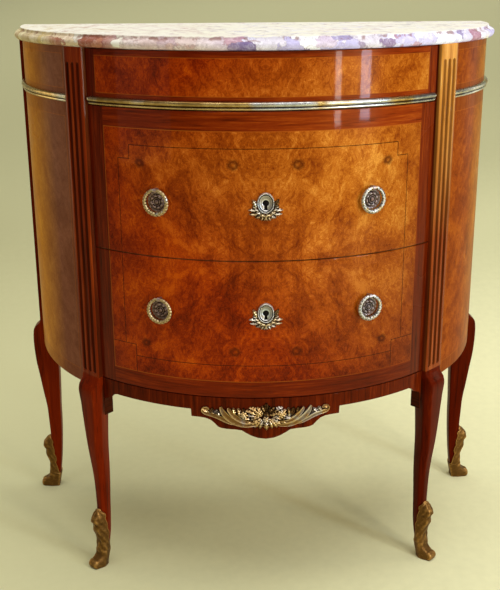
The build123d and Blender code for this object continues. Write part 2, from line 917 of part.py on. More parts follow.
def escutcheon(name, key_height):
    with BuildPart() as plate:
        with BuildSketch(face_plane(0, key_height, case_radius)):
            Ellipse(escutcheon_half_width, escutcheon_half_height)
            for index in range(leaf_count):
                turn = leaf_first_angle + index * leaf_step_angle
                across = leaf_reach * math.cos(math.radians(turn))
                down = leaf_drop * math.sin(math.radians(turn))
                for side in (-1, 1):
                    with Locations(Location((side * across, -down), side * (leaf_lean_angle - turn))):
                        leaf(side)
            keyhole(plate_key_radius, plate_key_width, plate_key_length, Mode.SUBTRACT)
        extrude(amount=escutcheon_thickness)
    save(plate, f"{name}_escutcheon")


lock("upper", upper_key_height, upper_shelf_z)
lock("lower", lower_key_height, lower_shelf_z)
escutcheon("upper", upper_key_height)
escutcheon("lower", lower_key_height)


# Ring handles: a rosette with a knuckle, and a ring that hangs from a pin in it
# Shares of the rosette's height and of its radius
rosette_shares = ((0.0, 1.0), (0.3, 1.0), (0.7, 0.66), (0.55, 0.42), (0.62, 0.3), (1.0, 0.2))
petal_notch_share = 0.88


def rosette_section(plane, radius):
    """A round with a shallow notch between each petal and the next."""
    corners = []
    for index in range(2 * rosette_petals):
        turn = math.pi * index / rosette_petals
        reach = radius if index % 2 else radius * petal_notch_share
        corners.append((reach * math.cos(turn), reach * math.sin(turn)))
    with BuildSketch(plane) as section:
        Polygon(*corners, align=None)
    return section.sketch


def handle_plate(name, angle, height):
    with BuildPart() as plate:
        for (low, wide), (high, narrow) in zip(rosette_shares[:3], rosette_shares[1:3]):
            loft(
                [
                    rosette_section(
                        face_plane(angle, height, case_radius + rosette_dome * rise_share),
                        rosette_radius * radius_share,
                    )
                    for rise_share, radius_share in ((low, wide), (high, narrow))
                ],
                ruled=True,
            )
        boss = rosette_shares[-1]
        with BuildSketch(face_plane(angle, height, case_radius)):
            RegularPolygon(rosette_radius * rosette_shares[-2][1], flute_sides)
        extrude(amount=rosette_dome * boss[0])
        with BuildSketch(hinge_plane(angle, height, case_radius)):
            outer_radius = pin_radius + pin_clearance + knuckle_wall
            with Locations((ring_stand, ring_radius)):
                Circle(outer_radius)
            with Locations((ring_stand / 2, ring_radius)):
                Rectangle(ring_stand, 2 * outer_radius)
            with Locations((rosette_rim / 2, ring_radius / 2)):
                Rectangle(rosette_rim, ring_radius)
        extrude(amount=knuckle_width / 2, both=True)
        with BuildSketch(hinge_plane(angle, height, case_radius)):
            with Locations((ring_stand, ring_radius)):
                Circle(pin_radius + pin_clearance)
        extrude(amount=knuckle_width, both=True, mode=Mode.SUBTRACT)
        with BuildSketch(face_plane(angle, height, case_radius)):
            RegularPolygon(stud_radius, stud_sides)
        extrude(amount=-(front_thickness + nut_thickness + stud_end))
    save(plate, f"{name}_handle_plate")


def ring_section(centre, turn):
    """One section of a ring, square to it, that is thinnest beside the pin at the top."""
    outward = centre.x_dir * math.sin(turn) + centre.y_dir * math.cos(turn)
    along = centre.x_dir * math.cos(turn) - centre.y_dir * math.sin(turn)
    swell = (1 - math.cos(turn)) / 2
    radius = ring_tube * (ring_thin_share + (1 - ring_thin_share) * swell)
    plane = Plane(origin=centre.origin + outward * ring_radius, x_dir=outward, z_dir=along)
    with BuildSketch(plane) as section:
        RegularPolygon(radius, ring_sides)
    return section.sketch


def handle_ring(name, angle, height):
    centre = face_plane(angle, height, case_radius + ring_stand)
    first = math.asin(ring_cut / ring_radius)
    sweep_angle = 2 * (math.pi - first)
    turns = [first + sweep_angle * index / ring_sections for index in range(ring_sections + 1)]
    with BuildPart() as ring:
        loft([ring_section(centre, turn) for turn in turns], ruled=True)
        with BuildSketch(hinge_plane(angle, height, case_radius + ring_stand)):
            with Locations((0, ring_radius)):
                Circle(pin_radius)
        extrude(amount=pin_reach, both=True)
    save(ring, f"{name}_ring")


def handle_nuts(name, height):
    with BuildPart() as nuts:
        for angle in (-handle_angle, handle_angle):
            with BuildSketch(face_plane(angle, height, front_inner - board_gap)):
                RegularPolygon(nut_flats / 2, 6, major_radius=False)
                RegularPolygon(stud_radius + stud_clearance, stud_sides, mode=Mode.SUBTRACT)
            extrude(amount=-nut_thickness)
    save(nuts, f"{name}_handle_nuts")


for level_name, level_height in (("upper", upper_handle_height), ("lower", lower_handle_height)):
    handle_nuts(level_name, level_height)
    for side_name, side_angle in (("left", -handle_angle), ("right", handle_angle)):
        handle_plate(f"{level_name}_{side_name}", side_angle, level_height)
        handle_ring(f"{level_name}_{side_name}", side_angle, level_height)
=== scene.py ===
"""Looks of a demi-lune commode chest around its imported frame: made in millimetres, kept in metres."""
import json
import math

import bmesh
import bpy
from mathutils import Matrix, Vector

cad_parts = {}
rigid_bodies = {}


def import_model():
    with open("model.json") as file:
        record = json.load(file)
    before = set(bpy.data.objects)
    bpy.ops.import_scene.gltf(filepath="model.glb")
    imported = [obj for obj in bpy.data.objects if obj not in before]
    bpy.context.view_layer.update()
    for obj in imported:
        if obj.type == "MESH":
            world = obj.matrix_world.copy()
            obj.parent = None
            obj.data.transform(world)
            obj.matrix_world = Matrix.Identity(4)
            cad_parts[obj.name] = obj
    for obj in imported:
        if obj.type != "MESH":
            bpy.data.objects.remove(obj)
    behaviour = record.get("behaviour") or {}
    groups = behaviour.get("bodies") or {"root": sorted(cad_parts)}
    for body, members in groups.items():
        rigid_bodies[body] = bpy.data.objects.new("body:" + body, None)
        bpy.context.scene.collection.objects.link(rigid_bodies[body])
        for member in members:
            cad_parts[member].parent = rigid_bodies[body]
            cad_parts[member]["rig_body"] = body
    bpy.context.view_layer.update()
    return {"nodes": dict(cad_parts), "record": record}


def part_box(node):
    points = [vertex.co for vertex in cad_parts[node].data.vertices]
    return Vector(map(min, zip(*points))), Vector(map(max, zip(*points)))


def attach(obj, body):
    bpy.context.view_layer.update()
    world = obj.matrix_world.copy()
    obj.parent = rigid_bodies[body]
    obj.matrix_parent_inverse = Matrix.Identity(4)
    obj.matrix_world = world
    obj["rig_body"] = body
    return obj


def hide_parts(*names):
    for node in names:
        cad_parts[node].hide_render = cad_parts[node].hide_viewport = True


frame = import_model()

# Sizes in millimetres that are read from the frame
MM = 0.001
MARBLE_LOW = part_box("marble_top")[0].z / MM
MARBLE_R, BACK_Y, TOP_Z = (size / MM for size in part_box("marble_top")[1])
CASE_R = BACK_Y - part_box("upper_drawer_front")[0].y / MM
CASE_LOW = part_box("bottom_board")[1].z / MM

# Sizes that the frame doesn't give, and angles in degrees from the front
FRONT_THICK = 20.0
PANEL_THICK = 18.0
STILE_ANGLE = 43.4
STILE_WIDTH = 41.0
STILE_DEPTH = 37.5
STILE_FACE = CASE_R + 7.5
REAR_WIDTH = 25.0
REAR_DEPTH = 28.0
HANDLE_ANGLE = 23.1
RING_STAND = 6.5
RING_R = 17.3
SPLIT_Z = 557.5
FRIEZE_Z = 771.0
APRON_PLAIN = 322.5
APRON_TOP = 344.4
MOUNT_HEIGHT = 316.0
DRAWER_LEVELS = {
    "frieze_drawer": (771.75, 850.5),
    "upper_drawer": (558.25, 770.25),
    "lower_drawer": (345.75, 556.75),
}
KEY_HEIGHTS = {"upper": 643.0, "lower": 480.0}
HANDLE_HEIGHTS = {"upper": 640.0, "lower": 477.0}
SIDES = ((-1, "left"), (1, "right"))


# ---------------------------------------------------------------- places on the bowed front

def on_bow(angle, radius, height):
    """The point at an angle from the front, a radius from the half round's centre, and a height."""
    a = math.radians(angle)
    return Vector((radius * math.sin(a), BACK_Y - radius * math.cos(a), height))


def bow_frame(angle, radius, height):
    """A frame on the front: X along it to the right, Y up and Z outward."""
    a = math.radians(angle)
    return Matrix(
        (
            (math.cos(a), 0, math.sin(a), radius * math.sin(a)),
            (math.sin(a), 0, -math.cos(a), BACK_Y - radius * math.cos(a)),
            (0, 1, 0, height),
            (0, 0, 0, 1),
        )
    )


def wrap(mesh, height):
    """Lays a flat piece, drawn in X and Y with Z outward, round the middle of the front."""
    for vert in mesh.verts:
        x, y, z = vert.co
        vert.co = on_bow(math.degrees(x / CASE_R), CASE_R + z, height + y)


def stile_turn(radius, gap):
    """The angle that half a stile and a gap beside it take up."""
    return math.degrees(math.asin((STILE_WIDTH / 2 + gap) / radius))


def beside_stile(radius, gap):
    return STILE_ANGLE - stile_turn(radius, gap)


def behind_stile(radius, gap):
    return STILE_ANGLE + stile_turn(radius, gap)


def before_rear(radius, gap):
    return math.degrees(math.acos((REAR_DEPTH + gap) / radius))


# ---------------------------------------------------------------- ways of making a skin

def open_edges(mesh):
    return [edge for edge in mesh.edges if edge.is_boundary]


def fill_holes(mesh, edges):
    bmesh.ops.holes_fill(mesh, edges=edges, sides=0)


def pulled(mesh, edges):
    """Extrudes edges where they are, and gives the new points."""
    grown = bmesh.ops.extrude_edge_only(mesh, edges=edges)["geom"]
    return [element for element in grown if isinstance(element, bmesh.types.BMVert)]


def edges_of(verts):
    return list(dict.fromkeys(edge for vert in verts for edge in vert.link_edges))


def relief(mesh, across, along, place):
    """A grid whose point at shares (s, t) goes where place(s, t) says."""
    made = bmesh.ops.create_grid(mesh, x_segments=across, y_segments=along, size=0.5)["verts"]
    for vert in made:
        vert.co = place(vert.co.x + 0.5, vert.co.y + 0.5)
    return made


def tube(mesh, rings, capped=True):
    """Rolls a grid into a skin through rings of points, and closes its two ends."""
    before = set(mesh.edges)
    count, last = len(rings[0]), len(rings) - 1
    made = relief(
        mesh, count, last, lambda s, t: Vector(rings[round(t * last)][round(s * count) % count])
    )
    bmesh.ops.remove_doubles(mesh, verts=made, dist=1e-5)
    if capped:
        fill_holes(mesh, [edge for edge in open_edges(mesh) if edge not in before])


def eased(before, here, after, radius, steps):
    """The points that round one 2-D corner."""
    here = Vector(here)
    back, ahead = Vector(before) - here, Vector(after) - here
    reach = min(radius, back.length * 0.45, ahead.length * 0.45)
    start, end = here + back.normalized() * reach, here + ahead.normalized() * reach
    shares = [step / steps for step in range(steps + 1)]
    return [start * (1 - t) ** 2 + here * 2 * t * (1 - t) + end * t * t for t in shares]


def rounded(corners, radius, steps=2):
    """A ring of 2-D corners with each corner eased by a radius."""
    points = []
    for index, corner in enumerate(corners):
        after = corners[(index + 1) % len(corners)]
        points += eased(corners[index - 1], corner, after, radius, steps)
    return points


def arc(out, up, reach, rise, first, last, steps):
    """Points of an oval arc about a middle, from a first to a last angle in degrees."""
    turns = [math.radians(first + (last - first) * step / steps) for step in range(steps + 1)]
    return [(out + reach * math.cos(turn), up + rise * math.sin(turn)) for turn in turns]


def smoothed(rows, spacing):
    """The rows of a table of shares, filled in with smooth steps no longer than a spacing."""
    rows = sorted(rows)
    slopes = []
    for index in range(len(rows)):
        before, after = rows[max(index - 1, 0)], rows[min(index + 1, len(rows) - 1)]
        slopes.append([(b - a) / (after[0] - before[0]) for a, b in zip(before, after)])
    filled = [list(rows[0])]
    for index in range(len(rows) - 1):
        low, high = rows[index], rows[index + 1]
        span = high[0] - low[0]
        steps = max(1, math.ceil(span / spacing))
        for step in range(1, steps + 1):
            t = step / steps
            rise = t * t * (3 - 2 * t)
            lead = t * (1 - t) * (1 - t) * span
            trail = t * t * (1 - t) * span
            columns = zip(low, high, slopes[index], slopes[index + 1])
            filled.append([a + (b - a) * rise + lead * m - trail * n for a, b, m, n in columns])
    return filled


def curve_through(points, steps):
    """A smooth run through points, with a few steps between each and the next."""
    run = [Vector(point) for point in points]
    line = []
    for index in range(len(run) - 1):
        before, start, end = run[max(index - 1, 0)], run[index], run[index + 1]
        after = run[min(index + 2, len(run) - 1)]
        for step in range(steps):
            t = step / steps
            bend = before * 2 - start * 5 + end * 4 - after
            twist = start * 3 - before - end * 3 + after
            line.append((start * 2 + (end - before) * t + bend * t * t + twist * t * t * t) / 2)
    line.append(run[-1])
    return line


def walked(line):
    """Each point of a line, the way ahead there, and its share of the way."""
    last = len(line) - 1
    for index, point in enumerate(line):
        ahead = line[min(index + 1, last)] - line[max(index - 1, 0)]
        yield point, ahead.normalized(), index / last


# ---------------------------------------------------------------- objects

def placed(name, data):
    made = bpy.data.objects.new(name, data)
    bpy.context.scene.collection.objects.link(made)
    return made


def kept(mesh, name, finish):
    """Makes a smooth-shaded object of a mesh, in one finish."""
    bmesh.ops.recalc_face_normals(mesh, faces=mesh.faces)
    data = bpy.data.meshes.new(name)
    mesh.to_mesh(data)
    mesh.free()
    data.materials.append(finish)
    data.polygons.foreach_set("use_smooth", [True] * len(data.polygons))
    return placed(name, data)


def piece(
    mesh, name, body, finish, slot, *nodes, mirrored=False, smooth=35, merge=0.002, close=False
):
    """Makes a visible piece of a mesh, on its body and in place of the nodes it replaces."""
    bmesh.ops.remove_doubles(mesh, verts=mesh.verts, dist=merge)
    if close:
        fill_holes(mesh, open_edges(mesh))
    bmesh.ops.scale(mesh, vec=(-MM if mirrored else MM, MM, MM), verts=mesh.verts)
    made = kept(mesh, name, finish)
    made.data.set_sharp_from_angle(angle=math.radians(smooth))
    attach(made, body)
    if nodes:
        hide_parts(*nodes)


def body_of(node):
    return frame["nodes"][node]["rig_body"]


# ---------------------------------------------------------------- finishes

GRAIN_STOPS = (0.34, 0.5, 0.66)
BURR_STOPS = (0.39, 0.465, 0.53, 0.61)


class Finish:
    """A material whose nodes are each made by one call."""

    def __init__(self, name):
        self.material = bpy.data.materials.new(name)
        self.material.use_nodes = True
        self.tree = self.material.node_tree
        self.shader = self.tree.nodes["Principled BSDF"]
        self.place = self.node("TexCoord", output="Object")

    def node(self, kind, feeds=(), output=0, **settings):
        made = self.tree.nodes.new("ShaderNode" + kind)
        for key, value in settings.items():
            setattr(made, key, value)
        for key, value in dict(feeds).items():
            self.feed(made.inputs[key], value)
        return made.outputs[output]

    def feed(self, socket, value):
        if isinstance(value, bpy.types.NodeSocket):
            self.tree.links.new(value, socket)
        else:
            socket.default_value = value

    def split(self, value, kind="XYZ"):
        """The three parts of a place or a colour."""
        made = self.tree.nodes.new("ShaderNodeSeparate" + kind)
        self.feed(made.inputs[0], value)
        return made.outputs

    def sum(self, operation, first, *others):
        return self.node("Math", enumerate((first, *others)), operation=operation)

    def weighed(self, first, *others):
        """The sum of values that each have a weight."""
        total = self.sum("MULTIPLY", *first)
        for value, weight in others:
            total = self.sum("MULTIPLY_ADD", value, weight, total)
        return total

    def within(self, value, middle, reach):
        return self.sum("COMPARE", value, middle, reach)

    def both(self, first, second):
        return self.sum("MULTIPLY", first, second)

    def either(self, *shares):
        total = shares[0]
        for share in shares[1:]:
            total = self.sum("MAXIMUM", total, share)
        return total

    def spread(self, value, low, high, to_low=0.0, to_high=1.0):
        return self.node("MapRange", enumerate((value, low, high, to_low, to_high)), clamp=True)

    def mix(self, share, first, second, blend="MIX"):
        feeds = {0: share, 6: first, 7: second}
        return self.node("Mix", feeds, output=2, data_type="RGBA", blend_type=blend)

    def shaded(self, colour, factors):
        return self.mix(1.0, colour, (*factors, 1), "MULTIPLY")

    def tinted(self, face, share, tint, strength=1.0):
        """The face, turned to a tint by a share."""
        if strength != 1.0:
            share = self.sum("MULTIPLY", share, strength)
        return self.mix(share, face, paint(tint))

    def ramp(self, value, stops):
        made = self.tree.nodes.new("ShaderNodeValToRGB")
        made.color_ramp.interpolation = "EASE"
        elements = made.color_ramp.elements
        for index, (at, colour) in enumerate(stops):
            element = elements[index] if index < 2 else elements.new(at)
            element.position = at
            element.color = paint(colour)
        self.feed(made.inputs[0], value)
        return made.outputs[0]

    def grain(self, tone, tones):
        return self.ramp(tone, zip(GRAIN_STOPS, tones))

    def stretch(self, place, scale):
        return self.node("Mapping", {"Vector": place, "Scale": scale})

    def swirled(self, place, swirl, reach):
        feeds = {0: swirl, 1: (reach, reach, reach), 2: place}
        return self.node("VectorMath", feeds, operation="MULTIPLY_ADD")

    def noise(self, place, scale, detail=4.0, roughness=0.5, distortion=0.0, output=0):
        feeds = {
            "Vector": place,
            "Scale": scale,
            "Detail": detail,
            "Roughness": roughness,
            "Distortion": distortion,
        }
        return self.node("TexNoise", feeds, output=output)

    def cells(self, place, scale, output, **settings):
        return self.node("TexVoronoi", {"Vector": place, "Scale": scale}, output=output, **settings)

    def colour(self, value):
        self.feed(self.shader.inputs["Base Color"], value)

    def gloss(self, roughness, **others):
        self.feed(self.shader.inputs["Roughness"], roughness)
        for key, value in others.items():
            self.feed(self.shader.inputs[key.replace("_", " ")], value)

    def bump(self, height, strength, distance):
        feeds = {"Height": height, "Strength": strength, "Distance": distance}
        self.feed(self.shader.inputs["Normal"], self.node("Bump", feeds))


def paint(colour):
    """A colour named by its three display values, 0 to 255, as light."""
    shares = [value / 255 for value in colour]
    return (*(s / 12.92 if s <= 0.04045 else ((s + 0.055) / 1.055) ** 2.4 for s in shares), 1)


# ---------------------------------------------------------------- woods

def chest_places(finish):
    """The distance round the bow in millimetres, its size, the radius and the height."""
    across, depth, height = finish.split(finish.place)
    away = finish.sum("SUBTRACT", BACK_Y * MM, depth)
    run = finish.sum("MULTIPLY", finish.sum("ARCTAN2", across, away), CASE_R)
    square = finish.sum("ADD", finish.both(across, across), finish.both(away, away))
    radius = finish.sum("MULTIPLY", finish.sum("SQRT", square), 1 / MM)
    return run, finish.sum("ABSOLUTE", run), radius, finish.sum("MULTIPLY", height, 1 / MM)


def area(finish, run, height, middle, half, level, rise):
    """Where a place is within half a width of a middle and half a height of a level."""
    return finish.both(finish.within(run, middle, half), finish.within(height, level, rise))


def straight_grain(finish, run, height, upright, seed):
    """How light straight-grained wood is from place to place: long streaks with fine pores."""
    laid = finish.node("CombineXYZ", {0: run, 1: seed, 2: height})

    def lines(across, along, *texture):
        scale = (across, 1, along) if upright else (along, 1, across)
        return finish.noise(finish.stretch(laid, scale), 1.0, *texture)

    pores = lines(1.6, 0.05, 3.0, 0.6)
    return finish.weighed((lines(0.2, 0.011, 5.0, 0.6, 0.35), 0.7), (pores, 0.3)), pores


def lit_share(finish, run, height):
    """How much painted light the wood gets from the window at the right: least low on the left, most at
    the right below the moulding.
    """
    low = finish.sum("SUBTRACT", finish.sum("MINIMUM", height, 690.0), 640.0)
    high = finish.sum("MAXIMUM", finish.sum("SUBTRACT", height, 700.0), 0.0)
    place = finish.sum("ADD", run, finish.sum("MULTIPLY_ADD", high, -1.2, low))
    return finish.spread(place, -200.0, 170.0, 0.0, 0.95)


def shade_low_right(finish, face, run, height):
    """The face with painted shade, darker low on the right."""
    place = finish.sum("MULTIPLY_ADD", finish.sum("SUBTRACT", 640.0, height), 0.6, run)
    dark = finish.shaded(face, (0.52, 0.36, 0.24))
    return finish.mix(finish.spread(place, 100.0, 340.0), face, dark)


def lit_grain(finish, run, height, upright, coats, seed):
    """Straight grain that turns from its own red to a lighter tone where the painted light falls."""
    tone, pores = straight_grain(finish, run, height, upright, seed)
    own_coat, lit_coat = [finish.grain(tone, coat) for coat in coats]
    return finish.mix(lit_share(finish, run, height), own_coat, lit_coat), pores


def burr(finish, run, height, seed, tones, whole=None):
    """Mirrored burr in each set of tones, and its lightness: blotches, slanting flames and flecks."""
    laid = finish.node("CombineXYZ", {0: run, 1: seed, 2: height})
    bent = finish.swirled(laid, finish.noise(laid, 0.03, 2.0, 0.5, output="Color"), 26.0)
    leaned = finish.node("VectorRotate", {"Vector": bent, "Angle": -0.55}, rotation_type="Y_AXIS")
    blotch = finish.noise(bent, 0.022, 3.0, 0.5, 0.2)
    cloud = finish.noise(bent, 0.08, 3.0, 0.55, 0.8)
    flame = finish.noise(finish.stretch(leaned, (1, 1, 0.2)), 0.11, 4.0, 0.6, 0.6)
    fleck = finish.noise(finish.stretch(bent, (1, 1, 0.55)), 0.26, 4.0, 0.6, 1.1)
    fine = finish.noise(bent, 0.8, 3.0, 0.6, 0.5)
    tone = finish.weighed((blotch, 0.26), (cloud, 0.12), (flame, 0.18), (fleck, 0.24), (fine, 0.2))
    if whole is not None:
        loose = finish.sum("SUBTRACT", finish.noise(whole, 0.017, 3.0, 0.55, 0.4), 0.5)
        tone = finish.sum("MULTIPLY_ADD", loose, 0.2, tone)
    return [finish.ramp(tone, zip(BURR_STOPS, coat)) for coat in tones], tone


# Tones of each wood from its darkest to its lightest: where there are two rows, the wood's own and then
# the wood under painted light
RAIL_COATS = (((62, 12, 1), (98, 24, 2), (130, 42, 4)), ((86, 24, 3), (134, 48, 7), (166, 78, 18)))
POST_COATS = (((52, 10, 1), (84, 19, 2), (110, 32, 4)), ((78, 22, 3), (118, 40, 6), (148, 64, 13)))
APRON_COATS = (((46, 9, 1), (76, 18, 2), (104, 32, 4)), ((58, 14, 2), (92, 27, 4), (124, 46, 9)))
BURR_COATS = (
    ((80, 15, 1), (113, 28, 1), (144, 46, 2), (176, 72, 5)),
    ((118, 46, 5), (152, 76, 12), (180, 104, 26), (212, 144, 54)),
)
# The side panels, whose golden and mauve or red parts are a painted reflection: behind and before on
# the left, then behind and before on the right
SIDE_COATS = (
    ((168, 100, 8), (186, 116, 11), (200, 130, 16), (216, 148, 28)),
    ((98, 56, 40), (112, 66, 48), (124, 76, 56), (138, 88, 66)),
    ((132, 76, 10), (156, 98, 18), (176, 116, 28), (196, 138, 44)),
    ((88, 30, 4), (118, 48, 7), (142, 66, 12), (166, 90, 22)),
)
SIDE_BORDER = ((92, 38, 8), (124, 58, 14), (150, 80, 24))
# a painted sheen by the back edge of each side panel
SIDE_SHEEN = (214, 190, 136)
LEG_TONES = ((70, 14, 1), (104, 25, 2), (130, 40, 5))
# The flutes in painted shade, the fillets between them, and the fillets at the top of the right post
# with a painted golden reflection
STILE_TONES = (
    ((44, 8, 1), (66, 14, 1), (88, 24, 3)),
    ((78, 18, 2), (112, 34, 6), (142, 56, 13)),
    ((162, 98, 30), (206, 142, 58), (232, 182, 96)),
)
OAK_TONES = ((104, 70, 42), (158, 118, 76), (190, 152, 106))
GROUND_WOOD = ((96, 58, 30), (146, 100, 60))
APRON_GROUND = ((36, 10, 3), (66, 20, 5))
STRING = (190, 104, 28)
INK = (44, 12, 3)
KNOT = (64, 15, 2)
SEAM = (110, 40, 6)

# Burr fields of the front: half width, level, half height, and how wide the string round them is
FRIEZE_FIELD = (256.6, 815.5, 25.5, 0.7)
DRAWER_FIELD = (245.0, 557.0, 185.3, 1.0)
# The dark string in the drawers' field: middle and half width, level and half height of each line
INK_LINES = (
    (0.0, 201.5, 719.0, 0.6),
    (201.5, 0.6, 709.0, 10.4),
    (211.35, 10.3, 699.0, 0.6),
    (221.2, 0.6, 557.0, 142.4),
    (224.2, 21.4, 415.0, 0.6),
    (202.8, 0.6, 393.2, 22.2),
    (0.0, 202.8, 397.0, 0.6),
)
# Round knots: distance from the middle, distance from the drawers' joint, and radius
EYES = ((45.5, 139.0, 7.5), (184.0, 136.5, 6.5))


def eye(finish, run, height, at_run, at_height, reach):
    """A round knot: a soft, uneven dark ring with a paler heart."""
    dx = finish.sum("SUBTRACT", run, at_run)
    dz = finish.sum("MULTIPLY", finish.sum("SUBTRACT", height, at_height), 1.15)
    far = finish.sum("SQRT", finish.sum("ADD", finish.both(dx, dx), finish.both(dz, dz)))
    wobble = finish.noise(finish.node("CombineXYZ", {0: run, 2: height}), 0.2, 4.0, 0.65)
    far = finish.sum("MULTIPLY_ADD", wobble, 9.0, far)
    inside = finish.spread(far, reach + 3, reach + 8, 1.0, 0.0)
    heart = finish.spread(far, reach - 3, reach + 2, 0.0, 1.0)
    return finish.both(inside, finish.sum("MULTIPLY_ADD", heart, 0.62, 0.14))


def varnish(finish, rise, roughness=0.2, shine=0.1, veil=0.12):
    """French polish: a clear gloss coat, and a warm veil under it, over slightly uneven wood."""
    uneven = finish.noise(finish.place, 9.0, 2.0, 0.5)
    finish.gloss(
        finish.spread(uneven, 0.3, 0.7, roughness, roughness + 0.1),
        Specular_IOR_Level=veil,
        Specular_Tint=(1.0, 0.42, 0.1, 1.0),
        Coat_Weight=shine,
        Coat_Roughness=0.045,
    )
    finish.bump(finish.sum("MULTIPLY_ADD", rise, 0.12, uneven), 0.05, 0.001)


def veneered(finish, radius, face, ground=GROUND_WOOD):
    """The face colour on the outside, and the ground wood within and on the edges."""
    outer = finish.sum("GREATER_THAN", radius, CASE_R - 1.3)
    lines = finish.noise(finish.stretch(finish.place, (1, 1, 12)), 24.0, 4.0, 0.6)
    finish.colour(finish.mix(outer, finish.ramp(lines, zip((0.35, 0.6), ground)), face))


def front_veneer():
    """Drawer fronts: burr in a mahogany border, with one pale and one dark string."""
    finish = Finish("front_veneer")
    run, reach, radius, height = chest_places(finish)
    above = finish.sum("GREATER_THAN", height, FRIEZE_Z)
    below = finish.sum("LESS_THAN", height, FRIEZE_Z)
    level = finish.sum("ABSOLUTE", finish.sum("SUBTRACT", height, SPLIT_Z))

    field_level = finish.sum("MULTIPLY_ADD", above, 260.0, level)
    whole = finish.node("CombineXYZ", {0: run, 1: 19.0, 2: height})
    coats, tone = burr(finish, reach, field_level, 7.3, BURR_COATS, whole)
    # painted light: the burr turns lighter towards the right and top, where the window's light falls
    wood = finish.mix(lit_share(finish, run, height), *coats)
    knots = finish.either(*(eye(finish, reach, level, *spot) for spot in EYES))
    wood = finish.tinted(wood, finish.both(knots, below), KNOT)
    wood = finish.tinted(wood, finish.within(run, 0.0, 0.35), SEAM, 0.35)

    # painted light: the rails and posts turn lighter towards the right, where the window's light falls
    rail, _ = lit_grain(finish, run, height, False, RAIL_COATS, 3.1)
    post, _ = lit_grain(finish, run, height, True, POST_COATS, 5.7)
    fields, strings, posts = [], [], []
    for zone, (half, middle, rise, edge) in ((above, FRIEZE_FIELD), (below, DRAWER_FIELD)):
        field = area(finish, reach, height, 0, half, middle, rise)
        string = area(finish, reach, height, 0, half + edge, middle, rise + edge)
        beside = finish.sum("GREATER_THAN", reach, half + edge)
        fields.append(finish.both(field, zone))
        strings.append(finish.both(string, zone))
        posts.append(finish.both(beside, zone))
    ink = finish.either(*(area(finish, reach, height, *line) for line in INK_LINES))

    face = finish.mix(finish.either(*posts), rail, post)
    face = finish.tinted(face, finish.either(*strings), STRING, 0.42)
    # painted shade: the drawer fronts darken low on the right
    face = shade_low_right(finish, finish.mix(finish.either(*fields), face, wood), run, height)
    veneered(finish, radius, finish.tinted(face, ink, INK, 0.85))
    varnish(finish, tone)
    return finish.material


def side_veneer():
    """Side panels: burr in a faint border, with a painted reflection that is golden behind, and mauve
    (left) or red (right) in front, and a painted sheen by the back edge.
    """
    finish = Finish("side_veneer")
    run, reach, radius, height = chest_places(finish)
    front, back = [math.radians(turn(CASE_R, 0)) * CASE_R for turn in (behind_stile, before_rear)]
    (ochre, mauve, gold, red), tone = burr(finish, reach, height, 31.0, SIDE_COATS)

    def behind(low, high):
        return finish.spread(reach, front + (back - front) * low, front + (back - front) * high)

    # painted reflection: golden towards the back, and more so higher up
    golden = finish.both(behind(0.3, 0.7), finish.spread(height, 380.0, 640.0, 0.3, 1.0))
    left, right = finish.mix(behind(0.2, 0.56), mauve, ochre), finish.mix(golden, red, gold)
    wood = finish.mix(finish.spread(run, -50.0, 50.0), left, right)
    # painted sheen: paler by the back edge
    wood = finish.tinted(wood, finish.spread(reach, back - 46.0, back - 14.0, 0.0, 0.4), SIDE_SHEEN)
    border, _ = straight_grain(finish, run, height, True, 9.1)
    face = finish.mix(
        finish.spread(run, -50.0, 50.0, 0.75, 0.3), finish.grain(border, SIDE_BORDER), wood
    )
    middle, half = (front + back) / 2, (back - front) / 2 - 15.0
    for low, high in ((APRON_PLAIN + 22.0, FRIEZE_Z - 22.0), (FRIEZE_Z + 20.0, MARBLE_LOW - 12.0)):
        level, rise = (low + high) / 2, (high - low) / 2
        for edge, share, inner in ((1.0, 0.3, paint(STRING)), (0.0, 0.9, wood)):
            field = area(finish, reach, height, middle, half + edge, level, rise + edge)
            face = finish.mix(finish.sum("MULTIPLY", field, share), face, inner)
    veneered(finish, radius, face)
    varnish(finish, tone, roughness=0.26, shine=0.02, veil=0.01)
    return finish.material


def apron_veneer():
    """Apron: upright crossbanding, with its sawn edge stained dark."""
    finish = Finish("apron_veneer")
    run, _, radius, height = chest_places(finish)
    # painted light: the crossbanding turns lighter towards the right, where the window's light falls
    wood, pores = lit_grain(finish, run, height, True, APRON_COATS, 4.4)
    veneered(finish, radius, wood, APRON_GROUND)
    varnish(finish, pores, shine=0.04, veil=0.05)
    return finish.material


def upright_grain(finish):
    """How light solid wood is from place to place: upright streaks with fine pores."""
    streaks = finish.noise(finish.stretch(finish.place, (90, 90, 5)), 1.0, 5.0, 0.6, 0.6)
    pores = finish.noise(finish.stretch(finish.place, (700, 700, 18)), 1.0, 2.0, 0.6)
    return finish.weighed((streaks, 0.75), (pores, 0.25)), pores


def leg_mahogany():
    """Polished solid mahogany of the legs, with painted shade on the right, and darker up the rear
    posts.
    """
    finish = Finish("leg_mahogany")
    tone, pores = upright_grain(finish)
    wood = finish.grain(tone, LEG_TONES)
    across, _, height = finish.split(finish.place)
    # painted shade on the right legs; the wood is also darker up the rear posts
    dark = finish.either(finish.spread(across, 0.0, 0.26), finish.spread(height, 0.35, 0.4, 0.0, 0.8))
    finish.colour(finish.mix(dark, wood, finish.shaded(wood, (0.5, 0.4, 0.3))))
    varnish(finish, pores, roughness=0.3, shine=0.02, veil=0.04)
    return finish.material


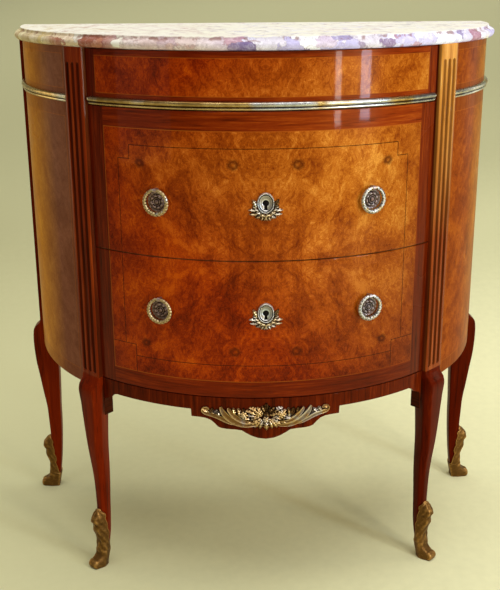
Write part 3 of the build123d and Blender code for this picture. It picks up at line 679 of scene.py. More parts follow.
def stile_mahogany():
    """Fluted posts: flutes darkened as painted shade, lighter fillets, and golden ones at the top of
    the right post as a painted reflection.
    """
    finish = Finish("stile_mahogany")
    tone, pores = upright_grain(finish)
    across, depth, height = finish.split(finish.place)
    turn = math.radians(STILE_ANGLE)
    out = finish.sum("MULTIPLY", finish.sum("ABSOLUTE", across), math.sin(turn))
    out = finish.sum("MULTIPLY_ADD", finish.sum("SUBTRACT", BACK_Y * MM, depth), math.cos(turn), out)
    raised = finish.spread(out, (STILE_FACE - 1.9) * MM, (STILE_FACE - 0.4) * MM)
    dark, red, golden = [finish.grain(tone, tones) for tones in STILE_TONES]
    # painted reflection: golden at the top of the right post
    lit = finish.both(finish.spread(across, 0.15, 0.2), finish.spread(height, 0.56, 0.85, 0.06, 0.9))
    # painted shade: the post's side faces, deeper than the flutes, stay dark; the flutes take a little
    # of the painted reflection
    before = finish.spread(out, (STILE_FACE - 6.0) * MM, (STILE_FACE - 4.2) * MM, 0.0, 0.4)
    flute = finish.mix(finish.both(lit, before), dark, golden)
    finish.colour(finish.mix(raised, flute, finish.mix(lit, red, golden)))
    varnish(finish, pores, shine=0.04, veil=0.07)
    return finish.material


def plain_oak(name, across, deep):
    """Oak inside: pale, unpolished, with open pores, its grain across the chest or back into it."""
    finish = Finish(name)
    figure = finish.noise(finish.stretch(finish.place, (across, deep, 60)), 1.0, 5.0, 0.6, 0.8)
    pores = finish.noise(finish.stretch(finish.place, (across * 6, deep * 6, 600)), 1.0, 2.0, 0.6)
    tone = finish.weighed((figure, 0.65), (pores, 0.35))
    finish.colour(finish.grain(tone, OAK_TONES))
    finish.gloss(finish.spread(tone, 0.3, 0.7, 0.75, 0.6), Specular_IOR_Level=0.3)
    finish.bump(tone, 0.25, 0.0006)
    return finish.material


# ---------------------------------------------------------------- marble and metals

# Colours of the broken pieces in the marble's edge, from its left end to its right part
CLASTS = (
    ((238, 228, 186), (214, 192, 132), (234, 222, 178), (196, 168, 112), (240, 232, 200)),
    ((164, 100, 70), (230, 210, 176), (148, 84, 64), (190, 132, 104), (160, 94, 84)),
    ((222, 196, 186), (190, 142, 138), (228, 212, 204), (200, 172, 180), (226, 206, 190)),
    (
        *((244, 244, 252), (190, 150, 168), (234, 234, 250), (250, 250, 253), (176, 132, 148)),
        *((226, 226, 246), (112, 94, 140), (200, 194, 230), (248, 246, 250), (138, 114, 152)),
    ),
)
# Where one zone of clasts turns into the next, in metres from the middle
CLAST_TURNS = ((-0.325, -0.295), (-0.225, -0.19), (-0.1, -0.03))
CREAM = ((0.3, (227, 223, 205)), (0.5, (230, 226, 211)), (0.7, (233, 229, 217)))
TOP = TOP_Z * MM


def breccia():
    """Breccia: a cream bed, and an edge of broken clasts that turn from ochre to rose and lilac."""
    finish = Finish("breccia_marble")
    swirl = finish.noise(finish.place, 36.0, 5.0, 0.65, output="Color")
    bent = finish.swirled(finish.place, swirl, 0.045)
    across, _, height = finish.split(finish.place)
    hue, share, _ = finish.split(finish.cells(bent, 30.0, "Color"), "Color")
    zones = []
    for colours in CLASTS:
        stops = [(index / (len(colours) - 1), colour) for index, colour in enumerate(colours)]
        zones.append(finish.ramp(hue, stops))
    stone = zones[0]
    for (low, high), zone in zip(CLAST_TURNS, zones[1:]):
        stone = finish.mix(finish.spread(across, low, high), stone, zone)
    mottle = finish.noise(bent, 120.0, 5.0, 0.65, 0.6)
    stone = finish.tinted(stone, finish.spread(mottle, 0.35, 0.65, 0.22, 0.0), (92, 62, 62))
    stone = finish.tinted(stone, finish.spread(mottle, 0.5, 0.7, 0.0, 0.3), (248, 244, 244))

    ragged = finish.sum("SUBTRACT", finish.noise(finish.place, 60.0, 5.0, 0.7), 0.5)
    level = finish.sum("MULTIPLY_ADD", ragged, 0.008, height)
    on_edge = finish.spread(level, TOP - 0.0016, TOP + 0.0002, 1.0, 0.0)
    cloud = finish.noise(bent, 14.0, 5.0, 0.6)
    broken = finish.both(on_edge, finish.spread(share, 0.06, 0.1, 0.0, 1.0))
    colour = finish.mix(broken, finish.ramp(cloud, CREAM), stone)

    crack = finish.cells(bent, 30.0, "Distance", feature="DISTANCE_TO_EDGE")
    crack = finish.sum("MULTIPLY", finish.spread(crack, 0.0, 0.035, 1.0, 0.0), 0.7)
    vein = finish.sum("SUBTRACT", finish.noise(bent, 30.0, 6.0, 0.65, 1.2), 0.5)
    vein = finish.spread(finish.sum("ABSOLUTE", vein), 0.0, 0.012, 1.0, 0.0)
    lines = finish.both(finish.either(crack, vein), on_edge)
    colour = finish.tinted(colour, lines, (96, 66, 58), 0.45)
    brow = finish.both(finish.spread(level, TOP - 0.0075, TOP - 0.004), on_edge)
    stain = finish.spread(finish.noise(finish.place, 55.0, 4.0, 0.6), 0.54, 0.6)
    colour = finish.tinted(colour, finish.both(brow, stain), (136, 92, 78), 0.7)
    faint = finish.both(vein, finish.sum("SUBTRACT", 1.0, on_edge))
    finish.colour(finish.tinted(colour, faint, (200, 176, 140), 0.08))
    finish.gloss(0.4, Specular_IOR_Level=0.0, Coat_Weight=0.15, Coat_Roughness=0.3)
    finish.bump(cloud, 0.03, 0.001)
    return finish.material


def cast_metal(name, tones, roughness, silver, scale, shade):
    """Old gilt bronze: painted shade in the hollows, bright high parts that are partly wear and partly
    painted highlight, and silvery patches, more to the right, as a painted reflection.
    """
    finish = Finish(name)
    # painted shade in creases and painted highlight on edges, partly wear
    wear_and_shade = finish.spread(finish.node("NewGeometry", output="Pointiness"), 0.44, 0.56)
    patch = finish.noise(finish.place, scale, 4.0, 0.6, 0.5)
    broad = finish.noise(finish.place, scale / 6, 2.0, 0.5)
    # painted shade in the hollows
    hollow = finish.node("AmbientOcclusion", {"Distance": 0.004}, output="AO")
    tone = finish.weighed((patch, 0.35), (wear_and_shade, 0.55), (broad, 0.2))
    tone = finish.both(tone, finish.spread(hollow, 0.25, 0.85, shade, 1.04))
    gold = finish.ramp(tone, zip((0.3, 0.55, 0.8), tones))
    grey = finish.node("HueSaturation", {"Saturation": 0.25, "Value": 1.15, "Color": gold})
    # painted reflection: silvery, bluish patches, more of them to the right
    rightward = finish.spread(finish.split(finish.place)[0], -0.14, 0.16, -0.1, 0.12)
    pale = finish.sum("ADD", finish.noise(finish.place, scale / 4, 2.0, 0.5, 0.4), rightward)
    silvered = finish.spread(pale, 0.48, 0.6, 0.0, silver)
    finish.colour(finish.mix(silvered, gold, finish.shaded(grey, (0.86, 0.93, 1.0))))
    finish.gloss(finish.spread(tone, 0.35, 0.75, roughness + 0.2, roughness), Metallic=1.0)
    finish.bump(patch, 0.25, 0.0004)
    return finish.material


def plain_steel():
    finish = Finish("worn_steel")
    patch = finish.noise(finish.place, 180.0, 4.0, 0.6)
    finish.colour(finish.ramp(patch, ((0.35, (88, 84, 80)), (0.6, (140, 138, 134)))))
    finish.gloss(finish.spread(patch, 0.3, 0.7, 0.5, 0.3), Metallic=1.0)
    finish.bump(patch, 0.1, 0.0003)
    return finish.material


# Painted shade: a dark finish for the sheet seen through the keyhole
def keyhole_shade_finish():
    finish = Finish("keyhole_shade_finish")
    patch = finish.noise(finish.place, 300.0, 2.0, 0.5)
    finish.colour(finish.ramp(patch, ((0.3, (6, 4, 3)), (0.7, (20, 13, 9)))))
    finish.gloss(0.8, Specular_IOR_Level=0.1)
    return finish.material


VENEER = front_veneer()
SIDE_VENEER = side_veneer()
APRON_VENEER = apron_veneer()
STILE_WOOD = stile_mahogany()
LEG_WOOD = leg_mahogany()
OAK = plain_oak("plain_oak", 6, 60)
OAK_DEEP = plain_oak("plain_oak_front_to_back", 60, 6)
MARBLE = breccia()
# Metals: tones from dark to bright, roughness, how silvery the painted reflection makes it, how fine
# the patches, how light the painted shade in hollows is
METALS = {
    "aged_gilt": (((40, 24, 12), (128, 92, 50), (208, 174, 120)), 0.32, 0.6, 240.0, 0.3),
    "ring_gilt": (((30, 18, 8), (98, 74, 42), (196, 172, 128)), 0.4, 0.85, 420.0, 0.2),
    "leaf_gilt": (((44, 28, 14), (134, 104, 62), (226, 202, 156)), 0.32, 0.55, 240.0, 0.3),
    "sabot_bronze": (((40, 26, 10), (104, 72, 34), (164, 122, 66)), 0.44, 0.0, 240.0, 0.5),
    "bead_brass": (((78, 54, 24), (140, 106, 50), (204, 178, 120)), 0.24, 1.0, 70.0, 0.5),
    "shaded_gilt": (((70, 50, 42), (116, 92, 82), (168, 146, 138)), 0.42, 0.5, 240.0, 0.75),
    "silver_sheen_gilt": (((70, 62, 52), (150, 142, 130), (214, 208, 200)), 0.4, 0.95, 240.0, 0.3),
    "dull_lock_brass": (((96, 78, 40), (140, 116, 66), (176, 152, 98)), 0.42, 0.0, 240.0, 0.5),
}
GILT, RING_GILT, LEAF_GILT, SABOT_GILT, BEAD_BRASS, DARK_GILT, SILVER_GILT, LOCK_BRASS = [
    cast_metal(name, *look) for name, look in METALS.items()
]
STEEL = plain_steel()
KEY_SHADE = keyhole_shade_finish()

SLOT_FINISHES = {
    "veneer": VENEER,
    "mahogany": STILE_WOOD,
    "oak": OAK,
    "marble": MARBLE,
    "gilt_brass": GILT,
    "lock_brass": LOCK_BRASS,
    "steel": STEEL,
}


def dress_nodes():
    """Gives each node the finish of its slot; in drawer sides and guides the grain runs back."""
    for part in frame["record"]["subparts"]:
        name, slot = part["node"], part["material_slot"]
        node = frame["nodes"].get(name)
        if node is None:
            continue
        node.data.materials.clear()
        deep = slot == "oak" and name.endswith(("_side", "_guides"))
        node.data.materials.append(OAK_DEEP if deep else SLOT_FINISHES[slot])


# ---------------------------------------------------------------- marble top

MARBLE_INSET = 0.15  # keeps the slab's edge within the solid's
MARBLE_STEPS = 112


def marble_top():
    """A half-round slab with a rounded edge over a cove."""
    mesh = bmesh.new()
    low, high = MARBLE_LOW, TOP_Z
    rim = MARBLE_R - MARBLE_INSET
    profile = [(0, low), (rim - 30, low), (rim - 4.6, low), (rim - 3.2, low + 0.4)]
    profile += arc(rim - 5.6, low + 6.1, 5.6, 5.7, -72, 78, 10)
    profile += arc(rim - 4.8, high - 1.4, 4.6, high - low - 13.7, -90, -180, 8)
    profile += [(rim - 9.5, high - 0.5), (rim - 10.0, high), (rim - 40, high), (0, high)]
    verts = [mesh.verts.new((-radius, BACK_Y, height)) for radius, height in profile]
    edges = [mesh.edges.new(pair) for pair in zip(verts, verts[1:])]
    middle, upward = (0, BACK_Y, 0), (0, 0, 1)
    bmesh.ops.spin(
        mesh, geom=verts + edges, cent=middle, axis=upward, angle=math.pi, steps=MARBLE_STEPS
    )
    piece(mesh, "marble_slab", "case", MARBLE, "marble", "marble_top", close=True, smooth=42)


# ---------------------------------------------------------------- bowed boards

FACE_HOLD = 2.5  # a row of points this far beside each eased edge keeps the face flat
FRONT_STEPS, SIDE_STEPS, APRON_STEP = 88, 52, 6


def board_ring(thick, low, high, ease):
    """The upright section of a board whose face is on the bow."""
    heights = (low, low + FACE_HOLD, high - FACE_HOLD, high)
    corners = [(CASE_R, height) for height in heights]
    return rounded(corners + [(CASE_R - thick, height) for height in heights[::-1]], ease)


def bowed_board(name, body, finish, node, thick, levels, ends, steps, mirrored=False):
    """A veneered board bent to the bow: ends(radius) gives its first and last angle."""
    mesh = bmesh.new()
    section = board_ring(thick, *levels, 0.8)
    rings = []
    for step in range(steps + 1):
        rings.append([])
        for radius, height in section:
            start, end = ends(radius)
            rings[-1].append(on_bow(start + (end - start) * (step / steps), radius, height))
    tube(mesh, rings)
    piece(mesh, name, body, finish, "veneer", node, mirrored=mirrored)


def drawer_front(name, levels):
    def ends(radius):
        reach = beside_stile(radius, 0.6)
        return -reach, reach

    made, node = f"{name}_veneered_front", f"{name}_front"
    bowed_board(made, name, VENEER, node, FRONT_THICK, levels, ends, FRONT_STEPS)


def side_panel(side, label):
    def ends(radius):
        return behind_stile(radius, 0), before_rear(radius, 0)

    name, node, levels = f"{label}_veneered_side", f"{label}_side_panel", (APRON_PLAIN, MARBLE_LOW)
    bowed_board(name, "case", SIDE_VENEER, node, PANEL_THICK, levels, ends, SIDE_STEPS, side < 0)


# The lower edge of the apron's right half: distance from the middle, and height
APRON_EDGE = (
    *((0.0, 278.0), (12.0, 279.6), (22.0, 283.4), (31.0, 288.6), (36.0, 292.0), (46.0, 293.2)),
    *((58.0, 293.6), (66.0, 294.6), (71.0, 296.6), (77.0, 303.0), (82.0, 307.2), (89.5, 309.8)),
    *((98.0, 310.4), (109.6, 310.6), (110.2, 322.5), (212.0, 322.5), (218.0, 320.2)),
    *((222.0, 314.4), (229.0, 311.6), (238.0, 308.8), (243.0, 303.6), (246.6, 293.0), (249.6, 278.5)),
)


def apron():
    mesh = bmesh.new()
    half = CASE_R * math.sin(math.radians(beside_stile(CASE_R, 0)))
    columns = []
    for (x, z), (x_next, z_next) in zip(APRON_EDGE, APRON_EDGE[1:]):
        wide, tall = x_next - x, z_next - z
        steps = max(1, round(wide / APRON_STEP))
        columns += [(x + wide * s / steps, z + tall * s / steps) for s in range(steps)]
    columns.append(APRON_EDGE[-1])
    columns = [(-x, z) for x, z in columns[:0:-1]] + columns
    rings = []
    for x, low in columns:
        share = x / APRON_EDGE[-1][0]
        rings.append([])
        for radius, height in board_ring(PANEL_THICK, low, APRON_TOP, 0.9):
            end = beside_stile(radius, 0)
            cut = math.degrees(math.asin(min(1, half * abs(share) / radius)))
            keep = abs(share) ** 6
            angle = math.copysign(cut * (1 - keep) + end * keep, share)
            rings[-1].append(on_bow(angle, radius, height))
    tube(mesh, rings)
    piece(mesh, "shaped_apron", "case", APRON_VENEER, "veneer", "apron")


# ---------------------------------------------------------------- stiles and legs

# Rows down a leg: share of its height, swing outward, half widths at its outer face, waist and inner
# face, and depth, all but the first two as shares of the post above
FRONT_LEG = (
    (1.0, 0.0, 0.97, 1.0, 0.96, 1.0),
    (0.977, 0.12, 0.96, 1.0, 0.9, 0.99),
    (0.954, 0.72, 0.93, 1.0, 0.74, 1.03),
    (0.922, 0.98, 0.88, 1.0, 0.56, 1.06),
    (0.87, 0.87, 0.79, 1.0, 0.45, 1.02),
    (0.742, 0.71, 0.63, 0.92, 0.35, 0.93),
    (0.632, 0.54, 0.48, 0.78, 0.3, 0.85),
    (0.464, 0.0, 0.36, 0.63, 0.25, 0.69),
    (0.316, -0.17, 0.3, 0.56, 0.22, 0.59),
    (0.174, -0.12, 0.3, 0.54, 0.22, 0.55),
    (0.072, 0.13, 0.3, 0.53, 0.22, 0.48),
    (0.0, 0.42, 0.3, 0.5, 0.22, 0.4),
)
REAR_LEG = (
    (1.0, 0.0, 0.96, 1.0, 0.97, 1.0),
    (0.98, 0.15, 0.95, 1.0, 0.96, 1.03),
    (0.957, 0.9, 0.94, 1.0, 0.95, 1.41),
    (0.93, 1.17, 0.93, 1.0, 0.93, 1.53),
    (0.865, 1.25, 0.92, 0.99, 0.9, 1.68),
    (0.76, 1.08, 0.88, 0.97, 0.88, 1.62),
    (0.68, 0.75, 0.84, 0.95, 0.86, 1.46),
    (0.571, 0.33, 0.78, 0.91, 0.82, 1.22),
    (0.481, -0.04, 0.72, 0.86, 0.78, 1.0),
    (0.388, -0.17, 0.68, 0.82, 0.74, 0.92),
    (0.304, -0.25, 0.64, 0.79, 0.7, 0.84),
    (0.174, -0.08, 0.62, 0.78, 0.68, 0.8),
    (0.072, 0.17, 0.62, 0.78, 0.68, 0.76),
    (0.0, 0.42, 0.6, 0.76, 0.66, 0.68),
)
# Each kind of leg: its rows, its width and its depth
LEGS = {
    "front": (FRONT_LEG, STILE_WIDTH, STILE_DEPTH),
    "rear": (REAR_LEG, REAR_DEPTH, REAR_WIDTH),
}
LEG_SWING = 12.0
LEG_WAIST = 0.3
SOLE = 4.0
LEG_STEP = 9.0 / CASE_LOW


def post_place(kind):
    """Turns out, across and up into a point: front posts stand on a radius, rear ones at the back."""
    if kind == "rear":
        return lambda out, across, up: Vector((out, BACK_Y - REAR_DEPTH / 2 + across, up))
    a = math.radians(STILE_ANGLE)
    right, ahead = (math.sin(a), math.cos(a)), (-math.cos(a), math.sin(a))
    return lambda out, across, up: Vector(
        (out * right[0] + across * right[1], BACK_Y + out * ahead[0] + across * ahead[1], up)
    )


def leg_section(row, width, depth):
    """A leg's outer face, its half widths there, at its waist and inner face, and its depth."""
    _, swing, front, middle, back, deep = row
    half = width / 2
    return STILE_FACE + LEG_SWING * swing, half * front, half * middle, half * back, depth * deep


def leg_skin(mesh, kind, place):
    """The skin of a leg, through level sections with six eased corners."""
    table, width, depth = LEGS[kind]
    rings = []
    for row in smoothed(table, LEG_STEP):
        outer, front, middle, back, thick = leg_section(row, width, depth)
        half = [(outer, front), (outer - thick * LEG_WAIST, middle), (outer - thick, back)]
        corners = [(outer, -front)] + half + [(out, -across) for out, across in half[:0:-1]]
        up = SOLE + (CASE_LOW - SOLE) * row[0]
        rings.append([place(out, across, up) for out, across in rounded(corners, 2.6, 3)])
    tube(mesh, rings)


FLUTE_R = 3.6
FLUTE_PITCH = 11.6
FLUTE_LOW = CASE_LOW + 9.0
FLUTE_HIGH = MARBLE_LOW - 25.0
EDGE_EASE = 0.9


def fluted_block(mesh, place):
    """The canted pilaster: a post with three stopped flutes, round at both ends."""
    half = STILE_WIDTH / 2
    spots = [-half, -half + EDGE_EASE]
    for index in (-1, 0, 1):
        turns = [math.radians(-90 + 180 * s / 12) for s in range(13)]
        spots += [index * FLUTE_PITCH + FLUTE_R * math.sin(turn) for turn in turns]
    spots += [half - EDGE_EASE, half]
    levels = [CASE_LOW + 0.05, MARBLE_LOW]
    for end, sign in ((FLUTE_LOW, -1), (FLUTE_HIGH, 1)):
        levels += [end + FLUTE_R * math.sin(math.radians(15 * s)) * sign for s in range(7)]
    levels += [FLUTE_LOW + (FLUTE_HIGH - FLUTE_LOW) * s / 8 for s in range(1, 8)]
    back = STILE_FACE - STILE_DEPTH
    rings = []
    for up in sorted(set(levels)):
        beyond = max(0.0, FLUTE_LOW - up, up - FLUTE_HIGH)
        ring = []
        for across in spots:
            middle = FLUTE_PITCH * max(-1, min(1, round(across / FLUTE_PITCH)))
            left = FLUTE_R**2 - (across - middle) ** 2 - beyond**2
            cut = math.sqrt(max(0.0, left)) * 0.92
            ease = EDGE_EASE if abs(abs(across) - half) < 1e-6 else 0.0
            ring.append(place(STILE_FACE - cut - ease, across, up))
        rings.append(ring + [place(back, half, up), place(back, -half, up)])
    tube(mesh, rings)


def front_stile(side, label):
    place, left = post_place("front"), side < 0
    mesh = bmesh.new()
    fluted_block(mesh, place)
    piece(mesh, f"{label}_fluted_post", "case", STILE_WOOD, "mahogany", mirrored=left, smooth=50)
    mesh = bmesh.new()
    leg_skin(mesh, "front", place)
    name, node = f"{label}_front_leg", f"front_{label}_stile"
    piece(mesh, name, "case", LEG_WOOD, "mahogany", node, mirrored=left, smooth=60)


def rear_stile(side, label):
    place = post_place("rear")
    mesh = bmesh.new()
    inner, half = STILE_FACE - REAR_WIDTH, REAR_DEPTH / 2
    ring = rounded([(STILE_FACE, -half), (STILE_FACE, half), (inner, half), (inner, -half)], 1.4, 3)
    levels = (CASE_LOW, 500.0, 700.0, MARBLE_LOW)
    tube(mesh, [[place(out, across, up) for out, across in ring] for up in levels])
    leg_skin(mesh, "rear", place)
    name, node = f"{label}_rear_post", f"rear_{label}_stile"
    piece(mesh, name, "case", LEG_WOOD, "mahogany", node, mirrored=side < 0, smooth=60, merge=0.0005)


# ---------------------------------------------------------------- brass mouldings

# Section of the two beads: how far out, and how high
BEADS = [
    (0.0, 0.0),
    *arc(2.5, 2.2, 1.9, 1.9, -90, 90, 8),
    *arc(2.4, 8.1, 4.0, 3.7, -82, 82, 12),
    (0.0, 12.0),
]
BEAD_MIDDLE = 6
BEAD_STEPS = 1.1  # to a degree
# How a moulding's rounded ends grow: degrees from the end, and share of the full section
KNOB = [(0.0, 0.25), (0.12, 0.62), (0.32, 0.88), (0.6, 1.0)]


def moulding(name, start, end, low, node, mirrored=False, knobs=False):
    """Two brass beads on a strip, bent round the case."""
    mesh = bmesh.new()
    steps = round(abs(end - start) * BEAD_STEPS)
    run = [(start + (end - start) * s / steps, 1.0) for s in range(steps + 1)]
    if knobs:
        first = [(start + away, share) for away, share in KNOB]
        run = first + run[1:-1] + [(end - away, share) for away, share in KNOB[::-1]]
    rings = []
    for angle, share in run:
        wide, tall = 0.25 + 0.75 * share, 0.35 + 0.65 * share
        middle = low + BEAD_MIDDLE
        ring = [(CASE_R + out * wide, middle + (up - BEAD_MIDDLE) * tall) for out, up in BEADS]
        rings.append([on_bow(angle, radius, height) for radius, height in ring])
    tube(mesh, rings)
    piece(mesh, name, body_of(node), BEAD_BRASS, "gilt_brass", node, mirrored=mirrored, smooth=50)


# ---------------------------------------------------------------- ring handles

RING_LEAVES = 24
RING_END = 5.8
RING_THICK = 3.7
RING_STEPS, RING_SIDES = 156, 14


def pin(mesh, radius, length, spot, segments=20):
    """A round bar that lies across at a spot."""
    bmesh.ops.create_cone(
        mesh,
        cap_ends=True,
        segments=segments,
        radius1=radius,
        radius2=radius,
        depth=length,
        matrix=Matrix.Translation(spot) @ Matrix.Rotation(math.pi / 2, 4, "Y"),
    )


def wreath_ring(name, angle, height):
    """A laurel ring that hangs from a pin at its top, thicker below."""
    mesh = bmesh.new()
    first = math.asin(RING_END / RING_R)
    rings = []
    for step in range(RING_STEPS + 1):
        turn = first + (math.tau - 2 * first) * step / RING_STEPS
        radius = RING_THICK * (0.76 + 0.24 * ((1 - math.cos(turn)) / 2))
        rise = abs(turn - math.pi) / math.tau * RING_LEAVES
        ring = []
        for spot in range(RING_SIDES):
            bend = math.tau * spot / RING_SIDES
            lane = (rise + 0.5 * (math.cos(bend) > 0)) % 1.0
            cut = 0.66 + 0.31 * math.sqrt(lane)
            tip = 0.05 * math.cos(3 * bend)
            reach = radius * (cut + tip) * 0.985
            out = RING_R + reach * math.cos(bend)
            ring.append((out * math.sin(turn), out * math.cos(turn), reach * math.sin(bend)))
        rings.append(ring)
    tube(mesh, rings)
    for side in (-1, 1):
        pin(mesh, 1.95, 5.0, (side * 4.6, RING_R, 0))
    pin(mesh, 1.9, 13.0, (0, RING_R, 0))
    bmesh.ops.transform(mesh, matrix=bow_frame(angle, CASE_R + RING_STAND, height), verts=mesh.verts)
    node = f"{name}_ring"
    piece(mesh, f"{name}_wreath_ring", node, RING_GILT, "gilt_brass", node, smooth=60)


# A rosette: its radius, and the shares of it where its border, its leaves and its collar end
ROSETTE_R = 15.6
BORDER_END, LEAVES_END, COLLAR_END = 0.72, 0.4, 0.24
ROSETTE_PETALS = 8


def rosette(name, angle, height):
    """A round plate with a petalled border and a turned boss, and the ear that holds the pin."""
    mesh = bmesh.new()

    def dome(s, t):
        turn = math.tau * s
        petal = abs(math.sin(turn * ROSETTE_PETALS))
        share = 1 - t
        if t == 0:
            up = 0.0
        elif share > BORDER_END:
            up = 0.7 + 0.9 * math.sin(math.pi * (1 - share) / 0.28) * (0.45 + 0.55 * petal)
        elif share > LEAVES_END:
            leaf = abs(math.sin(turn * 4 + 0.6))
            swell = math.sin(math.pi * (BORDER_END - share) / 0.34) ** 0.8
            up = 1.2 + 2.9 * swell * (0.4 + 0.6 * leaf)
        elif share > COLLAR_END:
            up = 1.9 + 1.9 * math.sin(math.pi * (LEAVES_END - share) / 0.16)
        else:
            up = 2.0 + 3.6 * math.sqrt(max(0.0, 1 - (share / COLLAR_END) ** 2))
        radius = ROSETTE_R * share * (0.965 + 0.035 * petal)
        return Vector((radius * math.cos(turn), radius * math.sin(turn), up))

    relief(mesh, 128, 34, dome)
    ear = rounded([(-4.2, -1.0), (4.2, -1.0), (4.2, 1.0), (-4.2, 1.0)], 0.6)
    tube(mesh, [[(x, at, up + y) for x, y in ear] for at, up in ((12.5, 1.4), (14.6, 2.2))])
    pin(mesh, 3.1, 4.6, (0, RING_R, RING_STAND), 24)
    stem = rounded([(-2.2, -2.6), (2.2, -2.6), (2.2, 2.6), (-2.2, 2.6)], 0.8)
    tube(mesh, [[(x, RING_R + y, up) for x, y in stem] for up in (0.0, RING_STAND)])
    bmesh.ops.transform(mesh, matrix=bow_frame(angle, CASE_R - 0.35, height), verts=mesh.verts)
    node, made = f"{name}_handle_plate", f"{name}_rosette"
    piece(mesh, made, body_of(node), DARK_GILT, "gilt_brass", node, smooth=45, close=True)


# ---------------------------------------------------------------- leaves and escutcheons

def leaf_blade(mesh, side, root, tip, width, lift, curl):
    """A lobed leaf with a raised rib, from its root to its tip, mirrored where side is -1."""
    root, tip = [Vector((side * x, y, 0)) for x, y in (root, tip)]
    along = tip - root
    across = Vector((-along.y, along.x, 0)).normalized()

    def place(s, t):
        off = 2 * s - 1
        lobe = abs(math.sin(math.pi * (3.5 * t + 0.25 * abs(off))))
        half = width / 2 * math.sin(math.pi * min(1.0, 0.12 + 0.88 * t ** 0.85)) ** 0.6
        half *= 0.74 + 0.26 * lobe
        arch = 0.3 + 0.7 * math.sin(math.pi * (0.12 + 0.8 * t))
        groove = 1 - 0.3 * (1 - lobe) * abs(off)
        bend = across * (curl * side * along.length * math.sin(math.pi * t) * 0.5)
        point = root + along * t + across * (off * half) + bend
        swell = 0.35 + 0.65 * (1 - abs(off) ** 1.6)
        point.z = lift * arch * swell * groove + 0.5 * (1 - abs(off)) ** 2
        return point

    made = relief(mesh, 10, 18, place)
    for vert in pulled(mesh, [edge for edge in edges_of(made) if edge.is_boundary]):
        vert.co.z = -0.2


def keyhole_ring(radius, slot, foot, count):
    """A ring that goes round a keyhole from its top: a round head on a narrow, flared slot."""
    neck = math.asin(slot / radius)
    head, side = round(count * 0.34), round(count * 0.11)
    turns = [(math.pi - neck) * i / head for i in range(head)]
    half = [(radius * math.sin(turn), radius * math.cos(turn)) for turn in turns]
    low, flare = -radius * math.cos(neck), slot + 0.5
    half += [(slot + 0.5 * i / side, low + (-foot - low) * i / side) for i in range(side)]
    across = count // 2 - len(half)
    half += [(flare * (1 - i / across), -foot) for i in range(across)]
    return half + [(0.0, -foot)] + [(-x, y) for x, y in half[:0:-1]]


# The escutcheon's oval, and its profile from the inner field to the edge: share of the oval, height
OVAL = (12.2, 15.2)
OVAL_RIM = (
    *((0.68, 2.2), (0.73, 2.9), (0.77, 2.2), (0.81, 1.7)),
    *((0.86, 2.6), (0.92, 3.0), (0.97, 2.2), (1.0, 0.0)),
)
CORD_BEADS = 36
# Leaves of one branch: root, tip, width, lift and curl
SPRAY = (
    ((2.0, -17.5), (-3.4, -25.6), 6.4, 3.6, 0.1),
    ((4.0, -18.0), (6.8, -25.2), 6.4, 3.4, -0.15),
    ((6.0, -17.0), (14.8, -21.2), 6.6, 3.4, -0.15),
    ((9.0, -15.0), (23.6, -15.6), 6.6, 3.4, -0.1),
    ((10.8, -12.0), (25.0, -10.2), 6.0, 3.4, 0.1),
    ((12.6, -8.5), (19.2, -4.8), 5.0, 3.2, 0.15),
    ((13.2, -6.5), (18.8, 5.4), 7.6, 3.9, 0.12),
    ((5.0, -16.0), (15.6, -13.2), 6.6, 4.4, 0.15),
    ((9.0, -13.0), (16.8, -8.0), 6.0, 4.4, 0.15),
    ((1.0, -16.8), (9.4, -18.8), 6.2, 4.6, 0.1),
)
BRANCH = ((1.0, -18.5, 1.6), (7, -16.5, 1.8), (12.6, -11.0, 1.8), (14.6, -3.0, 1.2))


def branch(mesh, side):
    """A tapering round stem along one side of the spray."""
    rings = []
    for point, ahead, share in walked(curve_through([(side * x, y, z) for x, y, z in BRANCH], 6)):
        across = ahead.cross(Vector((0, 0, 1))).normalized()
        up = across.cross(ahead)
        radius = 1.7 - 0.6 * share
        turns = [math.tau * s / 10 for s in range(10)]
        rings.append(
            [point + across * (radius * math.cos(t)) + up * (radius * math.sin(t)) for t in turns]
        )
    tube(mesh, rings)


def keyhole_plate(mesh):
    """An oval plate with a keyhole, stepped edges and a corded rim."""
    hole = keyhole_ring(4.7, 2.1, 9.8, 88)
    turns = [math.tau * i / len(hole) for i in range(len(hole))]

    def oval(share, up):
        return [(OVAL[0] * share * math.sin(t), OVAL[1] * share * math.cos(t), up) for t in turns]

    def between(part, up):
        pairs = zip(hole, oval(0.66, 0))
        return [(x + (ox - x) * part, y + (oy - y) * part, up) for (x, y), (ox, oy, _) in pairs]

    rings = [between(part, up) for part, up in ((0, 0.0), (0, 1.5), (0.12, 1.7), (0.55, 1.9))]
    rings += [oval(share, up) for share, up in OVAL_RIM]
    tube(mesh, rings + [between(0, 0.0)], capped=False)
    for index in range(CORD_BEADS):
        turn = math.tau * index / CORD_BEADS
        spot = (OVAL[0] * 0.9 * math.cos(turn), OVAL[1] * 0.9 * math.sin(turn), 2.9)
        bmesh.ops.create_icosphere(mesh, subdivisions=2, radius=1.05, matrix=Matrix.Translation(spot))


def keyhole_spray(mesh):
    """Two leafy branches under the oval."""
    for side in (-1, 1):
        for leaf in SPRAY:
            leaf_blade(mesh, side, *leaf)
        branch(mesh, side)
    leaf_blade(mesh, 1, (0, -16.5), (0.4, -25.4), 6.4, 4.4, 0.0)


def keyhole_shade(mesh):
    """A dark sheet: painted shade inside the keyhole."""
    shade = bmesh.ops.create_circle(mesh, cap_ends=True, segments=24, radius=8.6)["verts"]
    bmesh.ops.scale(mesh, vec=(0.7, 1.1, 1), verts=shade)
    bmesh.ops.translate(mesh, vec=(0, -2.4, 0.5), verts=shade)
    for vert in pulled(mesh, edges_of(shade)):
        vert.co.z = 0.05


